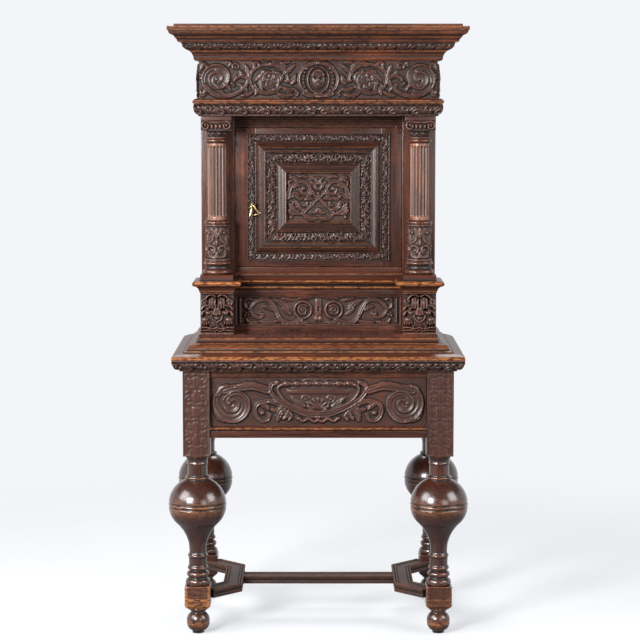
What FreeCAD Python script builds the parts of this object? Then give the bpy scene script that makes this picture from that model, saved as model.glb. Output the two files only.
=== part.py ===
import FreeCAD, Part
import Sketcher
import math
import os
from types import SimpleNamespace

# Carved oak cabinet on a stand. A cupboard with one door stands between two columns over a drawer, on a
# table with four bulbous turned legs, a drawer in its apron and stretchers that bow inward.
# X runs to the right, Y to the back and Z up, in millimetres. The origin is on the floor, under the middle.

# Driving dimensions
SIZES = {
    # Legs, feet and stretchers
    "leg_spacing_x": 700,
    "leg_spacing_y": 420,
    "post_size": 77,
    "post_height": 247,
    "block_size": 75,
    "block_height": 68,
    "block_bevel": 10,
    "foot_height": 74,
    "foot_radius": 33,
    "foot_pad_radius": 17,
    "foot_neck_radius": 21,
    "spigot_radius": 10,
    "spigot_length": 30,
    "spigot_relief": 1,
    "turning_height": 383,
    "bulb_radius": 83,
    "stem_radius": 24,
    "ring_radius": 33,
    "neck_radius": 28.5,
    "stretcher_width": 58,
    "stretcher_thickness": 26,
    "stretcher_bow": 97,
    "stretcher_bead": 9,
    "stretcher_sinking": 3,
    "cross_width": 50,
    # Apron and stand drawer
    "rail_setback": 6,
    "rail_thickness": 24,
    "reed_height": 19,
    "apron_panel_height": 142,
    "lip_height": 13,
    "lip_reach": 7,
    "lower_rail_height": 20,
    "front_board": 22,
    "drawer_board": 12,
    "drawer_bottom": 8,
    "drawer_gap": 1.5,
    "drawer_side_gap": 4,
    "drawer_side_drop": 12,
    "stand_drawer_depth": 400,
    "runner_width": 40,
    "runner_height": 14,
    # Table top and ledge
    "table_overhang": 30,
    "back_overhang": 10,
    "edge_height": 35,
    "ledge_width": 78.5,
    "ledge_bearing": 12,
    "ledge_height": 57,
    "bearer_width": 45,
    # Case
    "base_thickness": 9,
    "base_lip": 3,
    "pedestal_width": 96,
    "pedestal_depth": 98,
    "pedestal_height": 121,
    "mask_thickness": 26,
    "cap_height": 49.5,
    "cap_projection": 20,
    "pilaster_thickness": 24,
    "side_thickness": 22,
    "side_stile": 62,
    "side_panel": 10,
    "back_thickness": 14,
    "board_thickness": 16,
    "batten_size": 15,
    "base_rail_height": 15,
    "drawer_head_height": 19,
    "sill_height": 16.5,
    "head_rail_height": 33,
    "rail_depth": 20,
    "shelf_setback": 60,
    # Columns
    "column_base_height": 40.5,
    "column_base_radius": 41.5,
    "drum_height": 104,
    "drum_radius": 35,
    "shaft_height": 245,
    "shaft_radius": 27,
    "shaft_ring": 10,
    "capital_height": 65,
    "capital_width": 87,
    "capital_neck_height": 24,
    # Entablature
    "frieze_overhang": 8.5,
    "frieze_thickness": 24,
    "architrave_height": 50,
    "architrave_fillet": 8.5,
    "frieze_height": 107,
    "bed_height": 52,
    "bed_projection": 37,
    "crown_height": 43,
    "crown_projection": 75.5,
    "top_thickness": 7,
    "top_inset": 18,
    # Door
    "door_gap": 1.5,
    "door_thickness": 24,
    "plain_stile": 37,
    "plain_rail": 17,
    "outer_border": 23,
    "outer_moulding": 32,
    "inner_border": 29.5,
    "inner_moulding": 29.5,
    "panel_thickness": 14,
    "panel_sinking": 4,
    "border_rise": 6,
    "outer_moulding_rise": 14,
    "inner_border_rise": 10,
    "inner_moulding_rise": 18,
    "centre_rise": 12,
    "pivot_inset": 16,
    "pivot_setback": 6,
    "pivot_radius": 3,
    "pivot_length": 18,
    "pivot_clearance": 0.1,
    "pivot_end_gap": 1,
    # Locks, escutcheon and pull
    "lock_length": 62,
    "lock_width": 60,
    "lock_depth": 14,
    "lock_setback": 1,
    "bolt_width": 18,
    "bolt_depth": 7,
    "bolt_length": 36,
    "bolt_clearance": 0.5,
    "key_inset": 51,
    "key_radius": 2.6,
    "key_slot_width": 2.6,
    "key_slot_length": 9,
    "plate_width": 16,
    "plate_height": 26,
    "plate_thickness": 1.6,
    "pull_drop": 19,
    "pull_standoff": 13,
    "pull_wire_radius": 2.4,
    "pull_spread": 19,
    "pull_length": 36,
    "pull_tilt": 13,
    "pull_pin_radius": 1.5,
    "pull_pin_clearance": 0.1,
    "pull_boss_radius": 6.5,
    "pull_lug": 3,
    "pull_lug_gap": 0.4,
    "pull_bead_radius": 4.2,
    # Cabinet drawer
    "case_drawer_front": 20,
    "case_drawer_depth": 310,
    "case_drawer_board": 10,
    "case_drawer_drop": 6,
    "case_drawer_groove": 5,
    "case_key_rise": 6,
}

doc = FreeCAD.newDocument("CabinetOnStand")
sheet = doc.addObject("Spreadsheet::Sheet", "Dims")
for row, (alias, number) in enumerate(SIZES.items(), start=1):
    sheet.set(f"A{row}", alias)
    sheet.set(f"B{row}", str(number))
    sheet.setAlias(f"B{row}", alias)
doc.recompute()


class Size:
    """A length kept with the formula on the sheet that gives it, so that sums of sizes stay bound."""

    def __init__(self, value, formula=None):
        self.value = value
        self.formula = str(value) if formula is None else formula

    def join(self, sign, other, value):
        return Size(value, f"({self.formula} {sign} {size(other).formula})")

    def __add__(self, other):
        return self.join("+", other, self.value + size(other).value)

    def __sub__(self, other):
        return self.join("-", other, self.value - size(other).value)

    def __mul__(self, other):
        return self.join("*", other, self.value * size(other).value)

    def __truediv__(self, other):
        return self.join("/", other, self.value / size(other).value)

    def __radd__(self, other):
        return size(other) + self

    def __rsub__(self, other):
        return size(other) - self

    def __rmul__(self, other):
        return size(other) * self

    def __neg__(self):
        return size(-1) * self


def size(thing):
    return thing if isinstance(thing, Size) else Size(thing)


dim = SimpleNamespace(**{alias: Size(number, f"Dims.{alias}") for alias, number in SIZES.items()})
vector = FreeCAD.Vector
X_AXIS = vector(1, 0, 0)
Y_AXIS = vector(0, 1, 0)
Z_AXIS = vector(0, 0, 1)
nodes = {}


def turn(axis, degrees):
    return FreeCAD.Rotation(axis, degrees)


def bind(thing, name, value):
    """Tie a property to the sheet through the formula of a size."""
    thing.setExpression(name, size(value).formula)


def place(thing, x=0, y=0, z=0, rotation=None):
    """Turn a piece and bind its place to the sheet."""
    if rotation:
        thing.Placement = FreeCAD.Placement(vector(), rotation)
    for letter, value in zip("xyz", (x, y, z)):
        bind(thing, f"Placement.Base.{letter}", value)
    return thing


def node(label, *pieces):
    """Name a sub-part. Several pieces of one kind are kept as separate solids in one group."""
    if len(pieces) == 1:
        thing = pieces[0]
    else:
        thing = doc.addObject("Part::Compound", label)
        thing.Links = list(pieces)
    thing.Label = label
    nodes[label] = thing
    return thing


def board(name, x, y, z):
    """A rectangular board from pairs of lower and upper coordinates."""
    piece = doc.addObject("Part::Box", name)
    for side, (low, high) in zip(("Length", "Width", "Height"), (x, y, z)):
        bind(piece, side, size(high) - low)
    return place(piece, x[0], y[0], z[0])


def rod(name, radius, length, x, y, z, rotation=None):
    piece = doc.addObject("Part::Cylinder", name)
    bind(piece, "Radius", radius)
    bind(piece, "Height", length)
    return place(piece, x, y, z, rotation)


def cut(name, base, tool):
    piece = doc.addObject("Part::Cut", name)
    piece.Base = base
    piece.Tool = tool
    return piece


def fuse(name, *pieces):
    piece = doc.addObject("Part::MultiFuse", name)
    piece.Shapes = list(pieces)
    return piece


def mirrored_pair(low, high):
    """The same stretch to the right and to the left of the middle."""
    return {"right": (low, high), "left": (-high, -low)}


def new_sketch(body, name, role):
    sketch = body.newObject("Sketcher::SketchObject", name)
    plane = next(feature for feature in body.Origin.OriginFeatures if feature.Role == role)
    sketch.AttachmentSupport = [(plane, "")]
    sketch.MapMode = "FlatFace"
    return sketch


def tie(sketch, kind, geometry, point, value):
    """Hold a point of a sketch at a distance from the sketch's origin."""
    index = sketch.addConstraint(Sketcher.Constraint(kind, -1, 1, geometry, point, value.value))
    sketch.setExpression(f"Constraints[{index}]", value.formula)


def draw(sketch, outline):
    """Draw a closed outline of (x, y) or (x, y, bulge) points.

    The bulge is the tangent of a quarter of the angle of the arc that leaves the point, positive where the
    arc turns left. An arc's centre lies off the middle of its chord by chord * (1 - bulge^2) / (4 * bulge).
    """
    points = [(size(entry[0]), size(entry[1])) for entry in outline]
    bulges = [entry[2] if len(entry) > 2 else 0 for entry in outline]
    ends = []
    for index, bulge in enumerate(bulges):
        (x0, y0), (x1, y1) = points[index], points[(index + 1) % len(points)]
        start = vector(x0.value, y0.value, 0)
        stop = vector(x1.value, y1.value, 0)
        if not bulge:
            ends.append((sketch.addGeometry(Part.LineSegment(start, stop)), 1, 2))
            continue
        reach = (1 - bulge ** 2) / (4 * bulge)
        centre_x = (x0 + x1) * 0.5 - (y1 - y0) * reach
        centre_y = (y0 + y1) * 0.5 + (x1 - x0) * reach
        centre = vector(centre_x.value, centre_y.value, 0)
        first, last = (start, stop) if bulge > 0 else (stop, start)
        angles = [math.atan2(end.y - centre.y, end.x - centre.x) for end in (first, last)]
        circle = Part.Circle(centre, Z_AXIS, (start - centre).Length)
        arc = sketch.addGeometry(Part.ArcOfCircle(circle, *angles))
        ends.append((arc, 1, 2) if bulge > 0 else (arc, 2, 1))
        if abs((y1 - y0).value) > abs((x1 - x0).value):
            tie(sketch, "DistanceX", arc, 3, centre_x)
        else:
            tie(sketch, "DistanceY", arc, 3, centre_y)
    for index, (x, y) in enumerate(points):
        before, _, leaving = ends[index - 1]
        after, arriving, _ = ends[index]
        sketch.addConstraint(Sketcher.Constraint("Coincident", before, leaving, after, arriving))
        tie(sketch, "DistanceX", after, arriving, x)
        tie(sketch, "DistanceY", after, arriving, y)


def padded(body, name, role, outline, length):
    sketch = new_sketch(body, f"{name}_outline", role)
    draw(sketch, outline)
    pad = body.newObject("PartDesign::Pad", name)
    pad.Profile = sketch
    bind(pad, "Length", length)
    return pad


def pocketed(body, name, role, outline, length=None, upward=False):
    sketch = new_sketch(body, f"{name}_outline", role)
    draw(sketch, outline)
    pocket = body.newObject("PartDesign::Pocket", name)
    pocket.Profile = sketch
    pocket.Reversed = upward
    if length is None:
        pocket.Type = "ThroughAll"
    else:
        bind(pocket, "Length", length)
    return pocket


def plate(name, outline, thickness, role="XY_Plane"):
    body = doc.addObject("PartDesign::Body", name)
    padded(body, f"{name}_plate", role, outline, thickness)
    return body


def turned(name, profile):
    """A turning: a half profile of (radius, height) points, from the bottom to the top, round the Z axis."""
    body = doc.addObject("PartDesign::Body", name)
    sketch = new_sketch(body, f"{name}_profile", "XZ_Plane")
    draw(sketch, [(0, profile[0][1]), *profile, (0, profile[-1][1])])
    turning = body.newObject("PartDesign::Revolution", f"{name}_turning")
    turning.Profile = sketch
    turning.ReferenceAxis = (sketch, ["V_Axis"])
    turning.Angle = 360
    return body


RECTANGLE = [(0, 0), (1, 0), (1, 1), (0, 1)]


def scaled(shares, width, height):
    """A profile given in shares of its own width and height."""
    return [(width * entry[0], height * entry[1], *entry[2:]) for entry in shares]


MITRE_MARGIN = 2


def moulding(name, profile, length, width, mitred_start, mitred_end):
    """A length of moulding along X from 0, with its outermost plane at y = 0 and 45 degree mitres."""
    body = doc.addObject("PartDesign::Body", name)
    padded(body, f"{name}_run", "YZ_Plane", profile, length)
    far = width + MITRE_MARGIN
    for wanted, end, sign, tag in ((mitred_start, 0, 1, "start"), (mitred_end, length, -1, "end")):
        if wanted:
            beyond = end - size(MITRE_MARGIN) * sign
            wedge = [(beyond, -MITRE_MARGIN), (beyond, far), (end + far * sign, far)]
            pocketed(body, f"{name}_mitre_{tag}", "XY_Plane", wedge, upward=True)
    return body


def moulding_run(label, profile, width, half_width, y_front, y_back, z):
    """Front length and two side returns round three sides, mitred at the front corners."""
    depth = y_back - y_front
    front = moulding(f"{label}_front", profile, half_width * 2, width, True, True)
    left = moulding(f"{label}_left", profile, depth, width, False, True)
    right = moulding(f"{label}_right", profile, depth, width, True, False)
    place(front, -half_width, y_front, z)
    place(left, -half_width, y_back, z, turn(Z_AXIS, -90))
    place(right, half_width, y_front, z, turn(Z_AXIS, 90))
    return node(label, front, left, right)


def frame_lengths(name, profile, width, half_width, half_height, y, z):
    """Four mitred lengths round a rectangle on the front of the door, centred at height z."""
    pieces = []
    for side, angle, reach, run, along in (
        ("bottom", 0, half_height, half_width, (-1, -1)),
        ("left", 90, half_width, half_height, (-1, 1)),
        ("top", 180, half_height, half_width, (1, 1)),
        ("right", 270, half_width, half_height, (1, -1)),
    ):
        piece = moulding(f"{name}_{side}", profile, run * 2, width, True, True)
        upright = side in ("left", "right")
        x_place = (reach if upright else run) * along[0]
        z_place = z + (run if upright else reach) * along[1]
        rotation = turn(Y_AXIS, angle).multiply(turn(X_AXIS, 90))
        pieces.append(place(piece, x_place, y, z_place, rotation))
    return pieces


# Levels, from the floor up
z_block = dim.foot_height
z_turning = z_block + dim.block_height
z_post = z_turning + dim.turning_height
z_stand_top = z_post + dim.post_height
z_ledge = z_stand_top + dim.edge_height
z_base = z_ledge + dim.ledge_height
z_pedestal = z_base + dim.base_thickness
z_cap = z_pedestal + dim.pedestal_height
z_column = z_cap + dim.cap_height
z_drum = z_column + dim.column_base_height
z_shaft = z_drum + dim.drum_height
z_capital = z_shaft + dim.shaft_height
z_ceiling = z_capital + dim.capital_height
z_frieze = z_ceiling + dim.architrave_height
z_bed = z_frieze + dim.frieze_height
z_crown = z_bed + dim.bed_height
z_top = z_crown + dim.crown_height

# Half widths
x_leg = dim.leg_spacing_x / 2
x_post_inner = x_leg - dim.post_size / 2
x_post_outer = x_leg + dim.post_size / 2
x_table = x_post_outer + dim.table_overhang
x_case = x_table - dim.ledge_width
x_opening = x_case - dim.pedestal_width
x_column = x_case - dim.pedestal_width / 2
x_side = x_case - dim.side_thickness
x_frieze = x_case + dim.frieze_overhang
x_crown = x_frieze + dim.crown_projection

# Depths, from the middle between the front and the rear legs
y_leg_rear = dim.leg_spacing_y / 2
y_leg_front = -y_leg_rear
y_post = y_leg_front - dim.post_size / 2
y_table = y_post - dim.table_overhang
y_case_back = y_leg_rear + dim.post_size / 2
y_back = y_case_back + dim.back_overhang
y_pedestal = y_table + dim.ledge_width
y_column = y_pedestal + dim.pedestal_depth / 2
y_front = y_pedestal + dim.pedestal_depth
y_side = y_front + dim.pilaster_thickness
y_frieze = y_pedestal - dim.frieze_overhang
y_crown = y_frieze - dim.crown_projection

SIDES = {"left": -1, "right": 1}
ENDS = {"front": y_leg_front, "rear": y_leg_rear}


# Legs: heights are shares of the turned length, from the block up to the post
def leg_profile():
    rings = dim.ring_radius
    stem = dim.stem_radius
    bulb = dim.bulb_radius
    shares = [
        (rings, 0, 0.35), (rings, 0.045), (rings - 6, 0.055),
        (rings - 5, 0.065, 0.6), (rings - 5, 0.105), (rings - 11, 0.112),
        (rings - 6, 0.12, 0.6), (rings - 6, 0.148), (stem + 2, 0.155),
        (stem + 2, 0.21), (stem + 3, 0.218, 0.6), (stem + 3, 0.238),
        (stem, 0.25, -0.06), (stem + 2, 0.325, -0.2), (bulb * 0.7, 0.478, 0.15),
        (bulb, 0.592), (bulb - 3, 0.597), (bulb - 3, 0.601),
        (bulb, 0.606, 0.3), (bulb, 0.624), (bulb - 3, 0.629),
        (bulb - 3, 0.633), (bulb, 0.638, 0.28), (rings, 0.815),
        (rings + 1, 0.818, 0.5), (rings + 1, 0.836), (dim.neck_radius, 0.84),
        (dim.neck_radius, 0.945, -0.3), (dim.post_size / 2, 1),
    ]
    return [(radius, dim.turning_height * share, *bulge) for radius, share, *bulge in shares]


def square(half):
    return [(-half, -half), (half, -half), (half, half), (-half, half)]


def leg(label, x, y):
    body = turned(label, leg_profile())
    block = padded(body, f"{label}_block", "XY_Plane", square(dim.block_size / 2), dim.block_height)
    block.Reversed = True
    post = padded(body, f"{label}_post", "XY_Plane", square(dim.post_size / 2), dim.post_height)
    bind(post.Profile[0], "AttachmentOffset.Base.z", dim.turning_height)
    half = dim.block_size / 2
    low = -dim.block_height
    for tag, role in (("x", "XZ_Plane"), ("y", "YZ_Plane")):
        for side, sign in SIDES.items():
            corner = [
                ((half - dim.block_bevel) * sign, low),
                ((half + MITRE_MARGIN) * sign, low - MITRE_MARGIN),
                ((half + MITRE_MARGIN) * sign, low + dim.block_bevel + MITRE_MARGIN),
            ]
            bevel = pocketed(body, f"{label}_bevel_{tag}_{side}", role, corner)
            bevel.Midplane = True
    socket = body.newObject("PartDesign::SubtractiveCylinder", f"{label}_socket")
    bind(socket, "Radius", dim.spigot_radius + dim.pivot_clearance)
    bind(socket, "Height", dim.spigot_length)
    socket_plane = next(feature for feature in body.Origin.OriginFeatures if feature.Role == "XY_Plane")
    socket.AttachmentSupport = [(socket_plane, "")]
    socket.MapMode = "FlatFace"
    bind(socket, "AttachmentOffset.Base.z", low)
    return node(label, place(body, x, y, z_turning))


def foot(name, x, y):
    """A turned ball foot on a small pad, with a spigot that plugs into the leg's block."""
    height = dim.foot_height
    spigot = dim.spigot_length - dim.spigot_relief
    profile = [
        (dim.foot_pad_radius, 0), (dim.foot_pad_radius, height * 0.08, 0.08),
        (dim.foot_radius * 0.8, height * 0.17, 0.24), (dim.foot_radius, height * 0.44, 0.3),
        (dim.foot_neck_radius, height * 0.82), (dim.foot_neck_radius, height * 0.88),
        (dim.foot_neck_radius + 4, height * 0.9, 0.3), (dim.foot_neck_radius + 4, height),
        (dim.spigot_radius, height), (dim.spigot_radius, height + spigot),
    ]
    return place(turned(name, profile), x, y)


feet = []
for end, y_leg in ENDS.items():
    for side, sign in SIDES.items():
        leg(f"leg_{end}_{side}", x_leg * sign, y_leg)
        feet.append(foot(f"foot_{end}_{side}", x_leg * sign, y_leg))
node("ball_feet", *feet)

# Stretchers: three mitred pieces on each side, with a sunk band between two raised edges
z_stretcher = z_block + (dim.block_height - dim.stretcher_thickness) / 2
DIAGONAL = math.sqrt(2)
BISECTOR = math.tan(math.radians(22.5))


def stretcher_length(name, outline, band):
    body = plate(name, outline, dim.stretcher_thickness)
    sunk = pocketed(body, f"{name}_band", "XY_Plane", band, dim.stretcher_sinking)
    bind(sunk.Profile[0], "AttachmentOffset.Base.z", dim.stretcher_thickness)
    return place(body, 0, y_leg_front, z_stretcher)


def diagonal_outline(half_width, sign, rear, near_block):
    """Plan of a diagonal piece: out of the block's inner corner at 45 degrees, then mitred to the middle."""
    bow = dim.stretcher_bow
    block = dim.block_size / 2
    slant = half_width * DIAGONAL
    mitre = half_width * BISECTOR
    plan = [
        (block - slant if near_block else block, block),
        (bow - half_width, bow + mitre),
        (bow + half_width, bow - mitre),
        (block, block - slant if near_block else block),
    ]
    if near_block:
        plan.append((block, block))
    else:
        plan[0] = (block + MITRE_MARGIN, block + MITRE_MARGIN + slant)
        plan[3] = (block + MITRE_MARGIN + slant, block + MITRE_MARGIN)
    span = dim.leg_spacing_y
    return [((x_leg - u) * sign, span - v if rear else v) for u, v in plan]


def middle_outline(half_width, sign):
    bow = dim.stretcher_bow
    mitre = half_width * BISECTOR
    span = dim.leg_spacing_y
    plan = [
        (bow - half_width, bow + mitre),
        (bow + half_width, bow - mitre),
        (bow + half_width, span - bow + mitre),
        (bow - half_width, span - bow - mitre),
    ]
    return [((x_leg - u) * sign, v) for u, v in plan]


stretcher_half = dim.stretcher_width / 2
band_half = stretcher_half - dim.stretcher_bead
for side, sign in SIDES.items():
    lengths = []
    for end, rear in (("front", False), ("rear", True)):
        lengths.append(stretcher_length(
            f"stretcher_{side}_{end}",
            diagonal_outline(stretcher_half, sign, rear, True),
            diagonal_outline(band_half, sign, rear, False)))
    lengths.append(stretcher_length(
        f"stretcher_{side}_middle",
        middle_outline(stretcher_half, sign),
        middle_outline(band_half, sign)))
    node(f"stretcher_{side}", *lengths)

x_cross = x_leg - dim.stretcher_bow - stretcher_half
cross_middle = dim.leg_spacing_y / 2


def cross_outline(half_width):
    low = cross_middle - half_width
    high = cross_middle + half_width
    return [(-x_cross, low), (x_cross, low), (x_cross, high), (-x_cross, high)]


node("cross_stretcher", stretcher_length(
    "stretcher_cross",
    cross_outline(dim.cross_width / 2),
    cross_outline(dim.cross_width / 2 - dim.stretcher_bead)))

# Rails between the posts, flush with each other behind the post faces
z_apron = z_stand_top - dim.reed_height - dim.apron_panel_height - dim.lip_height - dim.lower_rail_height
z_lip = z_apron + dim.lower_rail_height
z_reeds = z_stand_top - dim.reed_height
y_rail = y_post + dim.rail_setback
rail_stretch = (y_leg_front + dim.post_size / 2, y_leg_rear - dim.post_size / 2)
x_rail_outer = x_post_outer - dim.rail_setback
x_rail_inner = x_rail_outer - dim.rail_thickness
stand_rails = []
for side, stretch in mirrored_pair(x_rail_inner, x_rail_outer).items():
    stand_rails.append(board(f"side_rail_{side}", stretch, rail_stretch, (z_apron, z_stand_top)))
y_back_rail = y_leg_rear + dim.post_size / 2 - dim.rail_setback
stand_rails.append(board(
    "back_rail", (-x_post_inner, x_post_inner), (y_back_rail - dim.rail_thickness, y_back_rail),
    (z_apron, z_stand_top)))
node("stand_rails", *stand_rails)


def reeded(name, half_length, depth, height, reeds, y, z):
    """A rail whose front is worked into half-round reeds between two flat edges."""
    edge = 0.12
    pitch = (1 - 2 * edge) / reeds
    face = depth * 0.12
    profile = [(depth, 0), (depth, height), (face, height)]
    for count in range(reeds):
        profile.append((face, height * (1 - edge - pitch * count), 0.6))
    profile += [(face, height * edge), (face, 0)]
    return place(moulding(name, profile, half_length * 2, depth, False, False), -half_length, y, z)


node("reeded_rail", reeded(
    "front_reeds", x_post_inner, dim.rail_thickness, dim.reed_height, 3, y_rail, z_reeds))
node("lower_front_rail", board(
    "front_lower", (-x_post_inner, x_post_inner), (y_rail, y_rail + dim.rail_thickness), (z_apron, z_lip)))

z_stand_drawer = z_lip + dim.drawer_gap
runners = []
for side, stretch in mirrored_pair(x_rail_inner - dim.runner_width, x_rail_inner).items():
    runners.append(board(f"stand_runner_{side}", stretch, rail_stretch, (z_lip - dim.runner_height, z_lip)))
node("stand_runners", *runners)

# Stand drawer: a carved front over a bead lip, on a dovetailed box
x_stand_drawer = x_post_inner - dim.drawer_gap
z_panel = z_lip + dim.lip_height
front_back = y_rail + dim.front_board
node("stand_drawer_front", board(
    "apron_panel", (-x_stand_drawer, x_stand_drawer), (y_rail, front_back),
    (z_panel, z_reeds - dim.drawer_gap)))
lip_height = dim.lip_height - dim.drawer_gap
lip_depth = dim.lip_reach + dim.front_board
lip_profile = scaled(
    [(1, 0), (1, 1), (0.3, 1), (0.2, 0.85), (0.1, 0.8, 0.75), (0.1, 0.15), (0.3, 0)], lip_depth, lip_height)
lip = moulding("apron_lip", lip_profile, x_stand_drawer * 2, lip_depth, False, False)
node("stand_drawer_lip", place(lip, -x_stand_drawer, y_rail - dim.lip_reach, z_stand_drawer))


def drawer_box(prefix, half_width, y, wall, bottom, z, front_wall):
    """Two sides, a back between them and a bottom, behind a drawer front."""
    inner = half_width - wall
    sides = [
        board(f"{prefix}_side_{side}", stretch, y, z)
        for side, stretch in mirrored_pair(inner, half_width).items()
    ]
    node(f"{prefix}_sides", *sides)
    node(f"{prefix}_back", board(f"{prefix}_rear", (-inner, inner), (y[1] - wall, y[1]), z))
    low = z[0] + front_wall
    node(f"{prefix}_bottom", board(
        f"{prefix}_floor", (-inner, inner), (y[0], y[1] - wall), (low, low + bottom)))


drawer_box(
    "stand_drawer", x_stand_drawer - dim.drawer_side_gap, (front_back, y_rail + dim.stand_drawer_depth),
    dim.drawer_board, dim.drawer_bottom, (z_stand_drawer, z_reeds - dim.drawer_side_drop), dim.lip_height)

# Stand top with its carved edge and the stepped ledge that holds the cabinet in place
node("stand_top", board(
    "table_board", (-x_post_outer, x_post_outer), (y_post, y_back), (z_stand_top, z_ledge)))
OVOLO_EDGE = [(1, 0), (1, 1), (0, 1), (0, 0.86, 0.4), (0.9, 0)]
moulding_run(
    "table_edge_carving", scaled(OVOLO_EDGE, dim.table_overhang, dim.edge_height),
    dim.table_overhang, x_table, y_table, y_back, z_stand_top)
LEDGE_STEPS = [
    (1, 1), (0.97, 0.97), (0.95, 0.92, -0.3), (0.85, 0.75), (0.74, 0.74), (0.72, 0.7, 0.35),
    (0.56, 0.43), (0.56, 0.4), (0.44, 0.37), (0.43, 0.3, 0.1), (0.02, 0.16), (0, 0.13), (0, 0),
]
ledge_depth = dim.ledge_width + dim.ledge_bearing
ledge_profile = [(ledge_depth, 0), (ledge_depth, dim.ledge_height)]
ledge_profile += scaled(LEDGE_STEPS, dim.ledge_width, dim.ledge_height)
moulding_run("ledge_moulding", ledge_profile, ledge_depth, x_table, y_table, y_back, z_ledge)

# Base of the case: a thin base board over three bearers that fit inside the ledge
x_bearer = x_case - dim.ledge_bearing
y_bearer = y_table + ledge_depth
bearer_steps = (y_back - dim.bearer_width - y_bearer) / 2
x_base = x_case + dim.base_lip
base_boards = [board(
    "base_board", (-x_base, x_base), (y_pedestal - dim.base_lip, y_case_back), (z_base, z_pedestal))]
for count, name in enumerate(("front", "middle", "back")):
    y_low = y_bearer + bearer_steps * count
    base_boards.append(board(
        f"bearer_{name}", (-x_bearer, x_bearer), (y_low, y_low + dim.bearer_width), (z_ledge, z_base)))
node("case_base", *base_boards)

# Pedestals: a carved lion panel on a block, under a moulded cap
y_mask = y_pedestal + dim.mask_thickness
cap_width = dim.pedestal_width + dim.cap_projection * 2
cap_depth = y_side - y_pedestal + dim.cap_projection
CAP_EDGE = [
    (1.05, 1), (1.05, 0.7), (0.15, 0.66), (0, 0.61, 0.3), (0, 0.42), (0.15, 0.38, -0.35), (0.9, 0.06), (1, 0),
]
cap_edge = scaled(CAP_EDGE, dim.cap_projection, dim.cap_height)


def cap_front_profile(depth):
    return [(depth, 0), (depth, dim.cap_height), *cap_edge]


def cap_side_profile():
    """The cap's edge going up on the right and going down on the left."""
    half = cap_width / 2
    turns = [entry[2] if len(entry) > 2 else 0 for entry in cap_edge]
    right = [(half - x, z, bulge) for (x, z, *_), bulge in zip(reversed(cap_edge), reversed([0, *turns[:-1]]))]
    left = [(x - half, z, *bulge) for x, z, *bulge in cap_edge]
    return right + left


pedestals = []
masks = []
caps = []
for side, stretch in mirrored_pair(x_opening, x_case).items():
    levels = (z_pedestal, z_cap)
    masks.append(board(f"lion_panel_{side}", stretch, (y_pedestal, y_mask), levels))
    pedestals.append(board(f"pedestal_{side}", stretch, (y_mask, y_side), levels))
    along = moulding(f"cap_front_{side}", cap_front_profile(cap_depth), cap_width, cap_depth, False, False)
    place(along, x_column * SIDES[side] - cap_width / 2, y_pedestal - dim.cap_projection, z_cap)
    across = plate(f"cap_sides_{side}", cap_side_profile(), cap_depth + MITRE_MARGIN * 2, "XZ_Plane")
    place(across, x_column * SIDES[side], y_side + MITRE_MARGIN, z_cap)
    cap = doc.addObject("Part::Common", f"pedestal_cap_{side}")
    cap.Base = along
    cap.Tool = across
    caps.append(cap)
node("lion_panels", *masks)
node("pedestals", *pedestals)
node("pedestal_caps", *caps)

# Front of the case between the pedestals: rails, and the surbase that carries the cap moulding across
# and is coped to the caps at its ends
z_drawer_head = z_cap - dim.drawer_head_height
z_drawer_base = z_pedestal + dim.base_rail_height
z_door_opening = z_column + dim.sill_height
z_head_rail = z_ceiling - dim.head_rail_height
rail_planes = (y_front, y_front + dim.rail_depth)
pivot_x = x_opening - dim.door_gap - dim.pivot_inset
pivot_y = y_front + dim.pivot_setback
pivot_bore = dim.pivot_radius + dim.pivot_clearance
pin_reach = dim.pivot_length / 2
sill_bore = rod("sill_bore", pivot_bore, pin_reach, pivot_x, pivot_y, z_door_opening - pin_reach)
door_sill = cut("door_sill", board(
    "sill_board", (-x_opening, x_opening), (y_front, y_side), (z_column, z_door_opening)), sill_bore)
node(
    "front_rails",
    board("base_rail", (-x_opening, x_opening), rail_planes, (z_pedestal, z_drawer_base)),
    board("drawer_head_rail", (-x_opening, x_opening), rail_planes, (z_drawer_head, z_cap)),
    door_sill)

surbase_depth = dim.cap_projection + dim.rail_depth
surbase = moulding(
    "surbase_length", cap_front_profile(surbase_depth), x_opening * 2, surbase_depth, False, False)
place(surbase, -x_opening, y_front - dim.cap_projection, z_cap)
node("surbase_moulding", cut("surbase_coped", surbase, nodes["pedestal_caps"]))

head_depth = dim.pilaster_thickness
head_bore = rod("head_bore", pivot_bore, pin_reach, pivot_x, pivot_y, z_head_rail)
head_reeds = reeded("head_reeds", x_opening, head_depth, dim.head_rail_height, 4, y_front, z_head_rail)
node("head_rail", cut("head_rail_bored", head_reeds, head_bore))
node("pilasters", *[
    board(f"pilaster_{side}", stretch, (y_front, y_side), (z_column, z_ceiling))
    for side, stretch in mirrored_pair(x_opening, x_case).items()
])

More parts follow.
